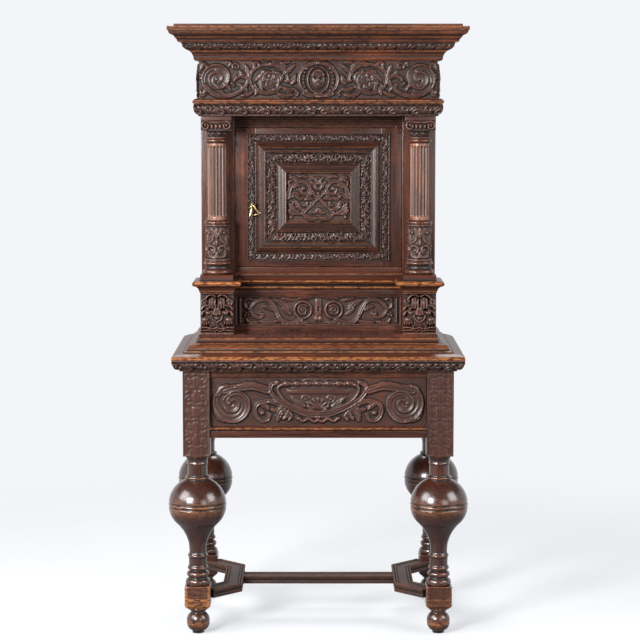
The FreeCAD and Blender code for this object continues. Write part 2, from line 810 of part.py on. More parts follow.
# Framed sides: two stiles, three rails and two thinner panels between them
y_stile_front = y_side + dim.side_stile
y_stile_back = y_case_back - dim.side_stile
panel_sinking = (dim.side_thickness - dim.side_panel) / 2
side_levels = {
    "bottom": (z_pedestal, z_pedestal + dim.side_stile / 2),
    "middle": (z_cap, z_column),
    "top": (z_ceiling - dim.side_stile, z_ceiling),
}
panel_levels = {
    "lower": (side_levels["bottom"][1], z_cap),
    "upper": (z_column, side_levels["top"][0]),
}
sunk_panels = mirrored_pair(x_side + panel_sinking, x_case - panel_sinking)
for side, whole in mirrored_pair(x_side, x_case).items():
    sunk = sunk_panels[side]
    upright = (z_pedestal, z_ceiling)
    pieces = [
        board(f"side_{side}_stile_front", whole, (y_side, y_stile_front), upright),
        board(f"side_{side}_stile_back", whole, (y_stile_back, y_case_back), upright),
    ]
    for name, levels in side_levels.items():
        pieces.append(board(f"side_{side}_rail_{name}", whole, (y_stile_front, y_stile_back), levels))
    for name, levels in panel_levels.items():
        pieces.append(board(f"side_{side}_panel_{name}", sunk, (y_stile_front, y_stile_back), levels))
    node(f"case_side_{side}", *pieces)

# Inside of the case: cupboard floor, shelf, battens and drawer runners, back boards and ceiling
y_inner_back = y_case_back - dim.back_thickness
z_floor = z_door_opening - dim.board_thickness
node("cupboard_floor", board(
    "floor_board", (-x_side, x_side), (y_side, y_inner_back), (z_floor, z_door_opening)))
z_shelf = (z_door_opening + z_head_rail) / 2
y_shelf = y_side + dim.shelf_setback
node("shelf", board(
    "shelf_board", (-x_side, x_side), (y_shelf, y_inner_back), (z_shelf, z_shelf + dim.board_thickness)))
battens = []
for side, stretch in mirrored_pair(x_side - dim.batten_size, x_side).items():
    battens.append(board(
        f"shelf_batten_{side}", stretch, (y_shelf, y_inner_back), (z_shelf - dim.batten_size, z_shelf)))
for side, stretch in mirrored_pair(x_opening - dim.runner_width, x_side).items():
    battens.append(board(
        f"case_runner_{side}", stretch, (y_side, y_inner_back), (z_pedestal, z_drawer_base)))
node("battens_and_runners", *battens)
z_ceiling_top = z_ceiling + dim.board_thickness
x_ceiling = x_frieze - dim.frieze_thickness
node("ceiling", board(
    "ceiling_board", (-x_ceiling, x_ceiling), (y_frieze + dim.frieze_thickness, y_case_back),
    (z_ceiling, z_ceiling_top)))
node(
    "case_back",
    board("back_boards", (-x_side, x_side), (y_inner_back, y_case_back), (z_pedestal, z_ceiling)),
    board("entablature_back", (-x_ceiling, x_ceiling), (y_inner_back, y_case_back), (z_ceiling_top, z_top)))

# Columns: a turned base, a carved drum, a fluted shaft between two rings and a scrolled capital
SCOTIA = -0.35
ROUND = 0.7


def column_base(name, x):
    wide = dim.column_base_radius
    height = dim.column_base_height
    profile = [
        (wide - 4, 0, ROUND), (wide - 4, height * 0.36), (wide - 6, height * 0.42, SCOTIA),
        (wide - 6, height * 0.68), (wide - 5, height * 0.7, ROUND), (wide - 5, height * 0.92),
        (dim.drum_radius, height),
    ]
    return place(turned(name, profile), x, y_column, z_column)


def drum(name, x):
    profile = [(dim.drum_radius, 0, 0.03), (dim.drum_radius, dim.drum_height)]
    return place(turned(name, profile), x, y_column, z_drum)


def shaft(name, x):
    thin = dim.shaft_radius
    ring = dim.shaft_ring
    high = dim.shaft_height
    profile = [
        (thin + 7, 0, ROUND), (thin + 7, ring), (thin, ring + 3), (thin, high - ring - 3),
        (thin + 3, high - ring, ROUND), (thin + 3, high),
    ]
    return place(turned(name, profile), x, y_column, z_shaft)


def capital(name, x):
    """A turned neck under the block that the scrolls are carved from."""
    neck = dim.capital_neck_height
    body = turned(name, [
        (dim.shaft_radius - 3, 0), (dim.shaft_radius - 3, neck * 0.6, -0.2), (dim.shaft_radius + 4, neck)])
    block = padded(
        body, f"{name}_block", "XY_Plane", square(dim.capital_width / 2), dim.capital_height - neck)
    bind(block.Profile[0], "AttachmentOffset.Base.z", neck)
    return place(body, x, y_column, z_capital)


for label, maker in (
    ("column_bases", column_base),
    ("column_drums", drum),
    ("column_shafts", shaft),
    ("column_capitals", capital),
):
    node(label, *[maker(f"{label}_{side}", x_column * sign) for side, sign in SIDES.items()])

# Entablature: architrave, frieze boards, bed moulding and crown on three sides, and a top board
architrave_depth = dim.architrave_fillet + dim.frieze_thickness
ARCHITRAVE = [(0, 0.92), (0, 0.72), (0.4, 0.7, 0.38), (2, 0)]
architrave_profile = [(architrave_depth, 0), (architrave_depth, dim.architrave_height)]
architrave_profile.append((dim.architrave_fillet, dim.architrave_height))
architrave_profile += scaled(ARCHITRAVE, dim.architrave_fillet, dim.architrave_height)
moulding_run(
    "architrave", architrave_profile, architrave_depth, x_frieze + dim.architrave_fillet,
    y_frieze - dim.architrave_fillet, y_case_back, z_ceiling)
frieze_boards = dim.frieze_height + dim.bed_height + dim.crown_height
moulding_run(
    "frieze", scaled(RECTANGLE, dim.frieze_thickness, frieze_boards),
    dim.frieze_thickness, x_frieze, y_frieze, y_case_back, z_frieze)
BED = [
    (1, 0), (1, 1), (0, 1), (0, 0.94, 0.36), (0.5, 0.55), (0.58, 0.55), (0.6, 0.48, -0.25),
    (0.8, 0.28), (0.84, 0.28), (0.86, 0.2, 0.3), (0.98, 0),
]
moulding_run(
    "bed_moulding", scaled(BED, dim.bed_projection, dim.bed_height), dim.bed_projection,
    x_frieze + dim.bed_projection, y_frieze - dim.bed_projection, y_case_back, z_bed)
CROWN = [
    (1, 0), (1, 1), (0, 1), (0, 0.76), (0.04, 0.74, 0.35), (0.16, 0.46, -0.3), (0.27, 0.3),
    (0.28, 0.26, -0.25), (0.36, 0.06), (0.38, 0),
]
moulding_run(
    "cornice_crown", scaled(CROWN, dim.crown_projection, dim.crown_height), dim.crown_projection,
    x_crown, y_crown, y_case_back, z_crown)
x_top = x_crown - dim.top_inset
node("top_board", board(
    "dust_board", (-x_top, x_top), (y_crown + dim.top_inset, y_case_back),
    (z_top, z_top + dim.top_thickness)))

# Door: frame and panel, with carved borders and two mitred mouldings that rise towards the centre
door_half = x_opening - dim.door_gap
door_levels = (z_door_opening + dim.door_gap, z_head_rail - dim.door_gap)
door_half_height = (door_levels[1] - door_levels[0]) / 2
z_door = (door_levels[0] + door_levels[1]) / 2
door_planes = (y_front, y_front + dim.door_thickness)
stile_width = dim.plain_stile + dim.outer_border
rail_width = dim.plain_rail + dim.outer_border
panel_half = door_half - stile_width
panel_half_height = door_half_height - rail_width
key_x = -(door_half - dim.key_inset)


def keyhole(name, x, planes, z):
    """A round hole over a slot, through everything between two planes."""
    start = planes[0] - MITRE_MARGIN
    length = planes[1] - planes[0] + MITRE_MARGIN * 2
    hole = rod(f"{name}_round", dim.key_radius, length, x, start, z, turn(X_AXIS, -90))
    half = dim.key_slot_width / 2
    slot = board(
        f"{name}_slot", (x - half, x + half), (start, start + length), (z - dim.key_slot_length, z))
    return fuse(name, hole, slot)


stile_left = cut(
    "door_stile_left_pierced",
    board("door_stile_left", (-door_half, -panel_half), door_planes, door_levels),
    keyhole("door_stile_keyhole", key_x, door_planes, z_door))
pin_holes = fuse(
    "door_pin_holes",
    rod("door_pin_hole_low", pivot_bore, pin_reach, pivot_x, pivot_y, door_levels[0]),
    rod("door_pin_hole_high", pivot_bore, pin_reach, pivot_x, pivot_y, door_levels[1] - pin_reach))
stile_right = cut(
    "door_stile_right_bored",
    board("door_stile_right", (panel_half, door_half), door_planes, door_levels),
    pin_holes)
rail_top = (door_levels[1] - rail_width, door_levels[1])
rail_bottom = (door_levels[0], door_levels[0] + rail_width)
node(
    "door_frame", stile_left, stile_right,
    board("door_rail_top", (-panel_half, panel_half), door_planes, rail_top),
    board("door_rail_bottom", (-panel_half, panel_half), door_planes, rail_bottom))
y_panel = y_front + dim.panel_sinking
node("door_panel", board(
    "panel_board", (-panel_half, panel_half), (y_panel, y_panel + dim.panel_thickness),
    (z_door - panel_half_height, z_door + panel_half_height)))


outer_border = frame_lengths(
    "outer_border", scaled(RECTANGLE, dim.outer_border, dim.border_rise), dim.outer_border,
    panel_half + dim.outer_border, panel_half_height + dim.outer_border, y_front, z_door)
outer_border[1] = cut(
    "outer_border_left_pierced", outer_border[1],
    keyhole("border_keyhole", key_x, (y_front - dim.border_rise, y_front), z_door))
inner_half = panel_half - dim.outer_moulding
inner_half_height = panel_half_height - dim.outer_moulding
inner_border = frame_lengths(
    "inner_border", scaled(RECTANGLE, dim.inner_border, dim.inner_border_rise + dim.panel_sinking),
    dim.inner_border, inner_half, inner_half_height, y_panel, z_door)
node("door_carved_borders", *outer_border, *inner_border)

BOLECTION = [
    (0, 0), (1, 0), (1, 0.62), (0.92, 0.66, -0.25), (0.76, 0.86), (0.72, 0.92, 0.6), (0.58, 0.92),
    (0.54, 0.84, 0.2), (0.24, 0.52), (0.2, 0.5), (0.16, 0.44, 0.5), (0.04, 0.44), (0, 0.38),
]
outer_rise = dim.outer_moulding_rise + dim.panel_sinking
outer_moulding = frame_lengths(
    "outer_moulding", scaled(BOLECTION, dim.outer_moulding, outer_rise), dim.outer_moulding,
    panel_half, panel_half_height, y_panel, z_door)
centre_surround = inner_half - dim.inner_border
centre_surround_height = inner_half_height - dim.inner_border
inner_rise = dim.inner_moulding_rise + dim.panel_sinking
inner_moulding = frame_lengths(
    "inner_moulding", scaled(BOLECTION, dim.inner_moulding, inner_rise), dim.inner_moulding,
    centre_surround, centre_surround_height, y_panel, z_door)
node("door_mouldings", *outer_moulding, *inner_moulding)
centre_half = centre_surround - dim.inner_moulding
centre_half_height = centre_surround_height - dim.inner_moulding
node("door_centre_panel", board(
    "centre_carving", (-centre_half, centre_half), (y_front - dim.centre_rise, y_panel),
    (z_door - centre_half_height, z_door + centre_half_height)))

# Pivot pins, let into the stile and turning in the sill and the head rail
pin_length = dim.pivot_length + dim.door_gap - dim.pivot_end_gap
node(
    "door_pivots",
    rod("pivot_low", dim.pivot_radius, pin_length, pivot_x, pivot_y,
        door_levels[0] + pin_reach - pin_length),
    rod("pivot_high", dim.pivot_radius, pin_length, pivot_x, pivot_y, door_levels[1] - pin_reach))

# Door lock on the back of the stile, whose bolt slides behind the pilaster
lock_planes = (door_planes[1], door_planes[1] + dim.lock_depth)
lock_x = dim.lock_setback - door_half
bolt_half = dim.bolt_width / 2
bolt_y = door_planes[1] + dim.lock_depth / 2 - dim.bolt_depth / 2
room = dim.bolt_clearance

node("door_lock", cut(
    "door_lock_case",
    board("door_lock_box", (lock_x, lock_x + dim.lock_length), lock_planes,
          (z_door - dim.lock_width / 2, z_door + dim.lock_width / 2)),
    board("door_lock_slot", (lock_x - MITRE_MARGIN, lock_x + dim.bolt_length + room * 2),
          (bolt_y - room, bolt_y + dim.bolt_depth + room),
          (z_door - bolt_half - room, z_door + bolt_half + room))))
node("door_bolt", board(
    "door_bolt_bar", (lock_x + room, lock_x + room + dim.bolt_length), (bolt_y, bolt_y + dim.bolt_depth),
    (z_door - bolt_half, z_door + bolt_half)))

# Escutcheon: a thin pierced plate with a pointed top, standing on the outer border
y_border = y_front - dim.border_rise
half_plate = dim.plate_width / 2
ESCUTCHEON = [
    (-0.55, -0.62), (0.55, -0.62, 0.3), (0.6, -0.3, -0.5), (0.72, 0.02, 0.35), (0.85, 0.55, -0.3),
    (0.3, 0.8), (0, 1), (-0.3, 0.8, -0.3), (-0.85, 0.55, 0.35), (-0.72, 0.02, -0.5), (-0.6, -0.3, 0.3),
]
escutcheon_plate = plate(
    "escutcheon_plate", scaled(ESCUTCHEON, half_plate, dim.plate_height / 2), dim.plate_thickness, "XZ_Plane")
place(escutcheon_plate, key_x, y_border, z_door)
escutcheon = cut(
    "escutcheon", escutcheon_plate,
    keyhole("escutcheon_keyhole", key_x, (y_border - dim.plate_thickness, y_border), z_door))

# Drop pull: a bail of two S-curved legs and a beaded bar, hung by a bored ball on a pin between two lugs
pull_z = z_door - dim.pull_drop
pull_y = y_border - dim.pull_standoff
lug_inner = dim.pull_boss_radius + dim.pull_lug_gap
pin_half = lug_inner + dim.pull_lug
lugs = [
    board(f"pull_lug_{side}", (key_x + low, key_x + high),
          (pull_y - dim.pull_lug / 2, y_border), (pull_z - dim.pull_lug / 2, pull_z + dim.pull_lug / 2))
    for side, (low, high) in mirrored_pair(lug_inner, pin_half).items()
]
pull_pin = rod(
    "pull_pin", dim.pull_pin_radius, pin_half * 2, key_x - pin_half, pull_y, pull_z, turn(Y_AXIS, 90))
node("door_plates", escutcheon, fuse("pull_staple", *lugs, pull_pin))

SWEEP_OUT = math.radians(50)
SWEEP_END = math.radians(15)
BAIL_START = vector(SIZES["pull_spread"] * 0.13, 0, -SIZES["pull_boss_radius"] * 0.52)


def bail_stops():
    """Points along the right leg of the bail: an arc that swings out by one angle, an arc that turns back to
    a steeper one, and a straight end. A heading of angle a runs along (sin a, -cos a)."""
    half_reach = (SIZES["pull_spread"] - BAIL_START.x) / 2
    radius_out = half_reach / (1 - math.cos(SWEEP_OUT))
    radius_back = half_reach / (math.cos(SWEEP_END) - math.cos(SWEEP_OUT))

    def swing_out(angle):
        return BAIL_START + vector(1 - math.cos(angle), 0, -math.sin(angle)) * radius_out

    def swing_back(angle):
        turned_by = vector(math.cos(angle) - math.cos(SWEEP_OUT), 0, math.sin(angle) - math.sin(SWEEP_OUT))
        return swing_out(SWEEP_OUT) + turned_by * radius_back

    low = swing_back(SWEEP_END)
    heading = vector(math.sin(SWEEP_END), 0, -math.cos(SWEEP_END))
    end = low + heading * ((low.z + SIZES["pull_length"]) / math.cos(SWEEP_END))
    middle = swing_back((SWEEP_OUT + SWEEP_END) / 2)
    return [BAIL_START, swing_out(SWEEP_OUT / 2), swing_out(SWEEP_OUT), middle, low, end]


def bail_leg(name, sign):
    stops = [vector(stop.x * sign, 0, stop.z) for stop in bail_stops()]
    path = doc.addObject("Part::Feature", f"{name}_path")
    path.Shape = Part.Wire([
        Part.Arc(*stops[0:3]).toShape(),
        Part.Arc(*stops[2:5]).toShape(),
        Part.LineSegment(*stops[4:6]).toShape(),
    ])
    section = doc.addObject("Part::Circle", f"{name}_section")
    bind(section, "Radius", dim.pull_wire_radius)
    section.Placement.Base = stops[0]
    sweep = doc.addObject("Part::Sweep", name)
    sweep.Sections = [section]
    sweep.Spine = (path, ["Edge1", "Edge2", "Edge3"])
    sweep.Solid = True
    return sweep


ALONG_X = turn(vector(1, 1, 1), 120)


def bead(name, radius, x, y, z):
    """A ball whose poles lie along the bar."""
    piece = doc.addObject("Part::Sphere", name)
    bind(piece, "Radius", radius)
    return place(piece, x, y, z, ALONG_X)


bar_z = -dim.pull_length
bar_half = bail_stops()[-1].x
end_radius = dim.pull_wire_radius * 1.35
side_radius = dim.pull_bead_radius * 0.65
bail = fuse(
    "pull_bail",
    bail_leg("pull_leg_left", -1),
    bail_leg("pull_leg_right", 1),
    rod("pull_bar", dim.pull_wire_radius * 0.7, bar_half * 2, -bar_half, 0, bar_z, turn(Y_AXIS, 90)),
    bead("pull_bead", dim.pull_bead_radius, 0, 0, bar_z),
    bead("pull_bead_left", side_radius, -dim.pull_spread / 2, 0, bar_z),
    bead("pull_bead_right", side_radius, dim.pull_spread / 2, 0, bar_z),
    bead("pull_end_left", end_radius, -bar_half, 0, bar_z),
    bead("pull_end_right", end_radius, bar_half, 0, bar_z))
place(bail, key_x, pull_y, pull_z, turn(Y_AXIS, -SIZES["pull_tilt"]))
pull_bore = rod(
    "pull_bore", dim.pull_pin_radius + dim.pull_pin_clearance, pin_half * 2, key_x - pin_half, pull_y, pull_z,
    turn(Y_AXIS, 90))
boss = cut("pull_boss_bored", bead("pull_boss", dim.pull_boss_radius, key_x, pull_y, pull_z), pull_bore)
node("drop_pull", fuse("pull_body", bail, boss))

# Cabinet drawer, with a lock behind its front whose bolt rises behind the rail above
x_case_drawer = x_opening - dim.drawer_gap
case_levels = (z_drawer_base + dim.drawer_gap, z_drawer_head - dim.drawer_gap)
case_front = (y_front, y_front + dim.case_drawer_front)
z_case_key = (case_levels[0] + case_levels[1]) / 2 + dim.case_key_rise
node("case_drawer_front", cut(
    "case_drawer_front_pierced",
    board("case_drawer_board", (-x_case_drawer, x_case_drawer), case_front, case_levels),
    keyhole("case_drawer_keyhole", 0, case_front, z_case_key)))
drawer_box(
    "case_drawer", x_case_drawer - dim.drawer_side_gap, (case_front[1], y_front + dim.case_drawer_depth),
    dim.case_drawer_board, dim.drawer_bottom, (case_levels[0], case_levels[1] - dim.case_drawer_drop),
    dim.case_drawer_groove)
lock_top = case_levels[1] - dim.lock_setback
lock_half = dim.lock_width / 2
drawer_lock_planes = (case_front[1], case_front[1] + dim.lock_depth)
drawer_bolt_y = case_front[1] + dim.lock_depth / 2 - dim.bolt_depth / 2
node("case_drawer_lock", cut(
    "case_drawer_lock_case",
    board("case_drawer_lock_box", (-lock_half, lock_half), drawer_lock_planes,
          (lock_top - dim.lock_length * 0.8, lock_top)),
    board("case_drawer_lock_slot", (-bolt_half - room, bolt_half + room),
          (drawer_bolt_y - room, drawer_bolt_y + dim.bolt_depth + room),
          (lock_top - dim.bolt_length - room * 2, lock_top + MITRE_MARGIN))))
node("case_drawer_bolt", board(
    "case_drawer_bolt_bar", (-bolt_half, bolt_half), (drawer_bolt_y, drawer_bolt_y + dim.bolt_depth),
    (lock_top - room - dim.bolt_length, lock_top - room)))

doc.recompute()

# Check every object, then write each sub-part to its own file
for thing in doc.Objects:
    if "Invalid" in thing.State or "Error" in thing.State:
        raise RuntimeError(f"{thing.Label} failed: {thing.State}")
os.makedirs("parts", exist_ok=True)
for label, thing in nodes.items():
    if thing.Shape.isNull() or not thing.Shape.isValid() or not thing.Shape.Solids:
        raise RuntimeError(f"{label} has no valid solid")
    thing.Shape.exportStep(os.path.join("parts", f"{label}.step"))
print(f"{len(nodes)} sub-parts written")
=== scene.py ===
import math
from collections import namedtuple

import bpy
import numpy as np
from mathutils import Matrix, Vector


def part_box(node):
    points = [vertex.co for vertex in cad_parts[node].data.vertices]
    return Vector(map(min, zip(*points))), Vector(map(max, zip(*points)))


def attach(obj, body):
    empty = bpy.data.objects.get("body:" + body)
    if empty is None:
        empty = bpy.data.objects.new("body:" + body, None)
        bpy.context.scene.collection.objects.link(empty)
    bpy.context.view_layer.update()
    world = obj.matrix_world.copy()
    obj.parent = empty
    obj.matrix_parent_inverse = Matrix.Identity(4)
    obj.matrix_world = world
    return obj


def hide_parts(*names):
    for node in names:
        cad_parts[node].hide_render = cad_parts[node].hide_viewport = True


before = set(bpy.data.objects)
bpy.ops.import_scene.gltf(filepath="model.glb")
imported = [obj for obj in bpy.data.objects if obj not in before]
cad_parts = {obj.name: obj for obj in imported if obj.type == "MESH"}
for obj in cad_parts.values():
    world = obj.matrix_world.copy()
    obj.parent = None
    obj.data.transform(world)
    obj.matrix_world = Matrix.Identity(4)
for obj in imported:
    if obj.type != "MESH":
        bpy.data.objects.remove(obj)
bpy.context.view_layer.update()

# Ball feet: four oak balls turned on a pad and a collar, plugged into the leg blocks by a spigot.
# Sizes are in millimetres, in the frame of the CAD nodes; piece() turns them into metres.
MM = 0.001
X, Y, Z = range(3)
ROOT = "cabinet"


class Socket:
    """A shader value: a sum with it adds a Math node to its material."""

    def __init__(self, finish, link):
        self.finish = finish
        self.link = link

    def sum(self, operation, first, second):
        return self.finish.node("ShaderNodeMath", {"operation": operation}, {0: first, 1: second})

    def __add__(self, other):
        return self.sum("ADD", self, other)

    def __radd__(self, other):
        return self.sum("ADD", other, self)

    def __sub__(self, other):
        return self.sum("SUBTRACT", self, other)

    def __rsub__(self, other):
        return self.sum("SUBTRACT", other, self)

    def __mul__(self, other):
        return self.sum("MULTIPLY", self, other)

    def __rmul__(self, other):
        return self.sum("MULTIPLY", other, self)


class Finish:
    """The shader of a material or a world, fed by sockets, numbers and colours of red, green and blue."""

    def __init__(self, owner):
        owner.use_nodes = True
        self.owner = owner
        self.tree = owner.node_tree
        self.place = self.node("ShaderNodeTexCoord", {}, {}, "Object")

    def put(self, socket, value):
        if isinstance(value, Socket):
            self.tree.links.new(value.link, socket)
        else:
            socket.default_value = (*value, 1) if socket.type == "RGBA" else value

    def node(self, kind, settings, inputs, output=0):
        made = self.tree.nodes.new(kind)
        for name, value in settings.items():
            setattr(made, name, value)
        for name, value in inputs.items():
            self.put(made.inputs[name], value)
        return Socket(self, made.outputs[output])

    def surface(self, inputs):
        for name, value in inputs.items():
            self.put(self.tree.nodes["Principled BSDF"].inputs[name], value)
        return self.owner

    def noise(self, place, scale, detail):
        return self.node("ShaderNodeTexNoise", {}, {"Vector": place, "Scale": scale, "Detail": detail}, "Fac")

    def step(self, value, low, high):
        levels = {"Value": value, "From Min": low, "From Max": high}
        return self.node("ShaderNodeMapRange", {"interpolation_type": "SMOOTHSTEP"}, levels)

    def mix(self, share, first, second):
        return self.node("ShaderNodeMix", {"data_type": "RGBA"}, {0: share, 6: first, 7: second}, 2)

    def attribute(self, name):
        return self.node("ShaderNodeAttribute", {"attribute_name": name}, {}, "Fac")

    def squeezed(self, axes, share):
        """The place in the object, squeezed along some axes so that noise is drawn out along them."""
        scales = [share if axis in axes else 1 for axis in (X, Y, Z)]
        return self.node("ShaderNodeVectorMath", {"operation": "MULTIPLY"}, {0: self.place, 1: scales})

    def bump(self, height, strength):
        return self.node("ShaderNodeBump", {}, {"Strength": strength, "Distance": MM, "Height": height})


# Painted shade: the near black that hollows, creases and the lows of carvings are darkened towards.
PAINTED_SHADE_BLACK = (0.003, 0.0015, 0.001)


def oak(name, grain, dark, brown, red, worn, gloss, coat, wiped=()):
    """Waxed oak: streaks along the grain, redder patches, painted shade that darkens hollows and inward
    creases to near black, and edges worn lighter along the axes they are wiped on, or else along the grain."""
    finish = Finish(bpy.data.materials.new(name))
    fibres = finish.squeezed([grain], 0.06)
    streaks = finish.noise(fibres, 150, 6)
    pores = finish.noise(fibres, 620, 2)
    patches = finish.noise(finish.place, 7, 4)
    smears = finish.noise(finish.squeezed(wiped or [grain], 0.3), 190, 8)
    colour = finish.mix(finish.step(streaks, 0.25, 0.75), dark, brown)
    colour = finish.mix(finish.step(patches, 0.5, 0.75) * finish.step(streaks, 0.2, 0.65), colour, red)
    rubbed = finish.attribute("wear") * finish.step(smears, 0.36, 0.58)
    colour = finish.mix(rubbed, colour, worn)
    # How much painted shade darkens each point, mixed in towards near black.
    hollow = finish.attribute("hollow")
    colour = finish.mix(hollow, colour, PAINTED_SHADE_BLACK)
    wax = gloss + 0.14 * smears + 0.1 * pores + 0.3 * hollow
    relief = finish.bump(pores * 0.4 + streaks * 0.5 + smears * 0.3, 0.25)
    return finish.surface({
        "Base Color": colour, "Roughness": wax, "Normal": relief, "Coat Weight": coat, "Coat Roughness": 0.2})


def oaks(name, axes, **stain):
    """The same oak with its grain along each of some axes."""
    return [oak(f"{name}_along_{'xyz'[axis]}", axis, **stain) for axis in axes]


STAIN = {
    "dark": (0.024, 0.0078, 0.0053), "brown": (0.075, 0.0235, 0.0148), "red": (0.15, 0.042, 0.0195),
    "worn": (0.48, 0.18, 0.055), "gloss": 0.16, "coat": 0.2,
}
TURNED = dict(
    STAIN, dark=(0.024, 0.0076, 0.0052), brown=(0.052, 0.0155, 0.0098), red=(0.115, 0.032, 0.0155), coat=1,
    wiped=(X, Y))
oak_x, oak_y, oak_z = oaks("stained_oak", (X, Y, Z), **STAIN)
turned_z = oak("turned_oak", Z, **TURNED)

# Each part holds per point its wear, which rubs it lighter, and the share of painted shade that darkens it.
Part = namedtuple("Part", "points faces wear hollow finish")


def piece(name, parts, slot, *nodes, body=ROOT, rubbed=0.3, arris=50):
    """One object of closed parts that rides on a body in place of its blanks. Rubbed is how far its edges and
    carved tops are made lighter, by wear and, on carvings, partly as painted highlight, and arris the angle
    in degrees above which an edge isn't smooth."""
    firsts = np.cumsum([0] + [len(part.points) for part in parts])
    finishes = list(dict.fromkeys(part.finish for part in parts))
    blocks = [(faces + first, finishes.index(part.finish))
              for part, first in zip(parts, firsts) for faces in part.faces]
    corners = np.concatenate([faces.ravel() for faces, _ in blocks])
    sizes = np.concatenate([np.full(len(faces), faces.shape[1]) for faces, _ in blocks])
    coats = np.concatenate([np.full(len(faces), coat) for faces, coat in blocks])
    mesh = bpy.data.meshes.new(name)
    mesh.vertices.add(firsts[-1])
    mesh.vertices.foreach_set("co", np.concatenate([part.points for part in parts]).ravel() * MM)
    mesh.loops.add(len(corners))
    mesh.loops.foreach_set("vertex_index", corners)
    mesh.polygons.add(len(sizes))
    mesh.polygons.foreach_set("loop_start", np.cumsum(sizes) - sizes)
    mesh.polygons.foreach_set("material_index", coats)
    mesh.polygons.foreach_set("use_smooth", np.ones(len(sizes), bool))
    for finish in finishes:
        mesh.materials.append(finish)
    # Wear lightens a point, and the other attribute is painted shade that darkens it.
    for label, scale in (("wear", rubbed), ("hollow", 1)):
        values = np.concatenate([getattr(part, label) for part in parts]) * scale
        mesh.attributes.new(label, "FLOAT", "POINT").data.foreach_set("value", values)
    mesh.update(calc_edges=True)
    mesh.set_sharp_from_angle(angle=math.radians(arris))
    made = bpy.data.objects.new(name, mesh)
    bpy.context.scene.collection.objects.link(made)
    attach(made, body)
    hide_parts(*nodes)


def box(node):
    """Lowest and highest corner of a blank, in millimetres."""
    return [np.array(corner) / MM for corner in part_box(node)]


def bell(place, middle, reach):
    """1 in the middle, falling smoothly to 0 beyond a reach."""
    return np.exp(-((place - middle) / reach) ** 2)


def traced(corners):
    """Points along an outline of (out, up, bulge) corners. A bulge, the tangent of a quarter of an arc's
    angle, bends the stretch that leaves its corner; one above nothing swells outward."""
    stretches = []
    share = np.linspace(0, 1, 24, endpoint=False)
    for (*start, bulge), (*end, _) in zip(corners[:-1], corners[1:]):
        start, end = complex(*start), complex(*end)
        stretch = start + (end - start) * share
        if bulge:
            centre = (start + end) / 2 + 1j * (end - start) * (1 - bulge ** 2) / (4 * bulge)
            stretch = centre + (start - centre) * np.exp(4j * math.atan(bulge) * share)
        stretches.append(stretch)
    line = np.append(np.concatenate(stretches), end)
    return np.column_stack([line.real, line.imag])


def profile(corners, rounding=1.6, step=0.7, count=None):
    """An outline in even steps, or of a count of points, with its corners rounded by a running mean."""
    line = traced([(*corner, 0)[:3] for corner in corners])
    run = np.append(0, np.cumsum(np.hypot(*np.diff(line, axis=0).T)))
    even = np.linspace(0, run[-1], count or int(run[-1] / step) + 2)
    line = np.column_stack([np.interp(even, run, line[:, column]) for column in (0, 1)])
    reach = max(1, round(rounding / even[1] / 2))
    before = 2 * line[:1] - line[reach:0:-1]
    after = 2 * line[-1:] - line[-2:-reach - 2:-1]
    held = np.concatenate([before, line, after])
    mean = np.ones(2 * reach + 1) / (2 * reach + 1)
    return np.column_stack([np.convolve(held[:, column], mean, "valid") for column in (0, 1)])


def bends(line):
    """How sharply a line bends outward and inward near each of its points, from 0 to 1; the outward bends are
    worn lighter, and the inward creases get painted shade.
    """
    stride = np.diff(line, axis=0)
    heading = np.unwrap(np.arctan2(stride[:, 1], stride[:, 0]))
    turn = np.concatenate([[0], np.diff(heading), [0]])
    around = np.arange(-6, 7) * np.hypot(*stride.T).mean()
    ridge, dent = [np.convolve(turn, bell(around, 0, reach), "same") for reach in (1.4, 3.6)]
    return np.clip(ridge / 0.9, 0, 1), np.clip(-dent / 0.8, 0, 1)


def quads(number):
    """Faces between the points of a grid, given by their numbers."""
    corners = number[:-1, :-1], number[:-1, 1:], number[1:, 1:], number[1:, :-1]
    return np.stack(corners, axis=-1).reshape(-1, 4)


def closed_round(rows, sides):
    """Faces of a grid whose rows run round a body, with a cap on its first and its last row."""
    number = np.arange(rows * sides).reshape(rows, sides)
    return [quads(np.column_stack([number, number[:, 0]])), number[:1, ::-1], number[-1:]]


def circle(sides):
    """Angles of even steps round a circle."""
    return np.linspace(0, 2 * np.pi, sides, endpoint=False)


def turned(line, centre, finish, sides=72, lift=0, wear=0, hollow=0):
    """A line of (radius, height) points turned round an upright axis, pushed out by lift and closed."""
    angle = circle(sides)
    radius = line[:, :1] + lift
    height = line[:, 1:] + 0 * angle
    points = np.stack([radius * np.cos(angle), radius * np.sin(angle), height], axis=-1) + np.array(centre)
    # Ridges wear lighter, and inward creases and any extra given get painted shade.
    ridge, dent = [bend[:, None] + 0 * angle for bend in bends(line)]
    wear, hollow = np.maximum(ridge, wear).ravel(), np.maximum(dent, hollow).ravel()
    return Part(points.reshape(-1, 3), closed_round(len(line), sides), wear, hollow, finish)


LEG_X = 350
LEG_Y = 210
FOOT = [
    (17, 0), (17, 5.9, 0.08), (26.4, 12.6, 0.24), (33, 32.6, 0.3), (21, 60.7), (21, 65.1), (25, 66.6, 0.3),
    (25, 74),
]
leg_places = {
    f"leg_{end}_{side}": (LEG_X * across, LEG_Y * along)
    for end, along in (("front", -1), ("rear", 1)) for side, across in (("left", -1), ("right", 1))
}
foot_line = profile(FOOT, 1.6, 1.2)
foot_wear = 0.9 * bell(foot_line[:, 1:], 30, 9)
feet = [turned(foot_line, (*place, 0), turned_z, wear=foot_wear) for place in leg_places.values()]
piece("turned_feet", feet, "stained_oak", "ball_feet", rubbed=0.5)

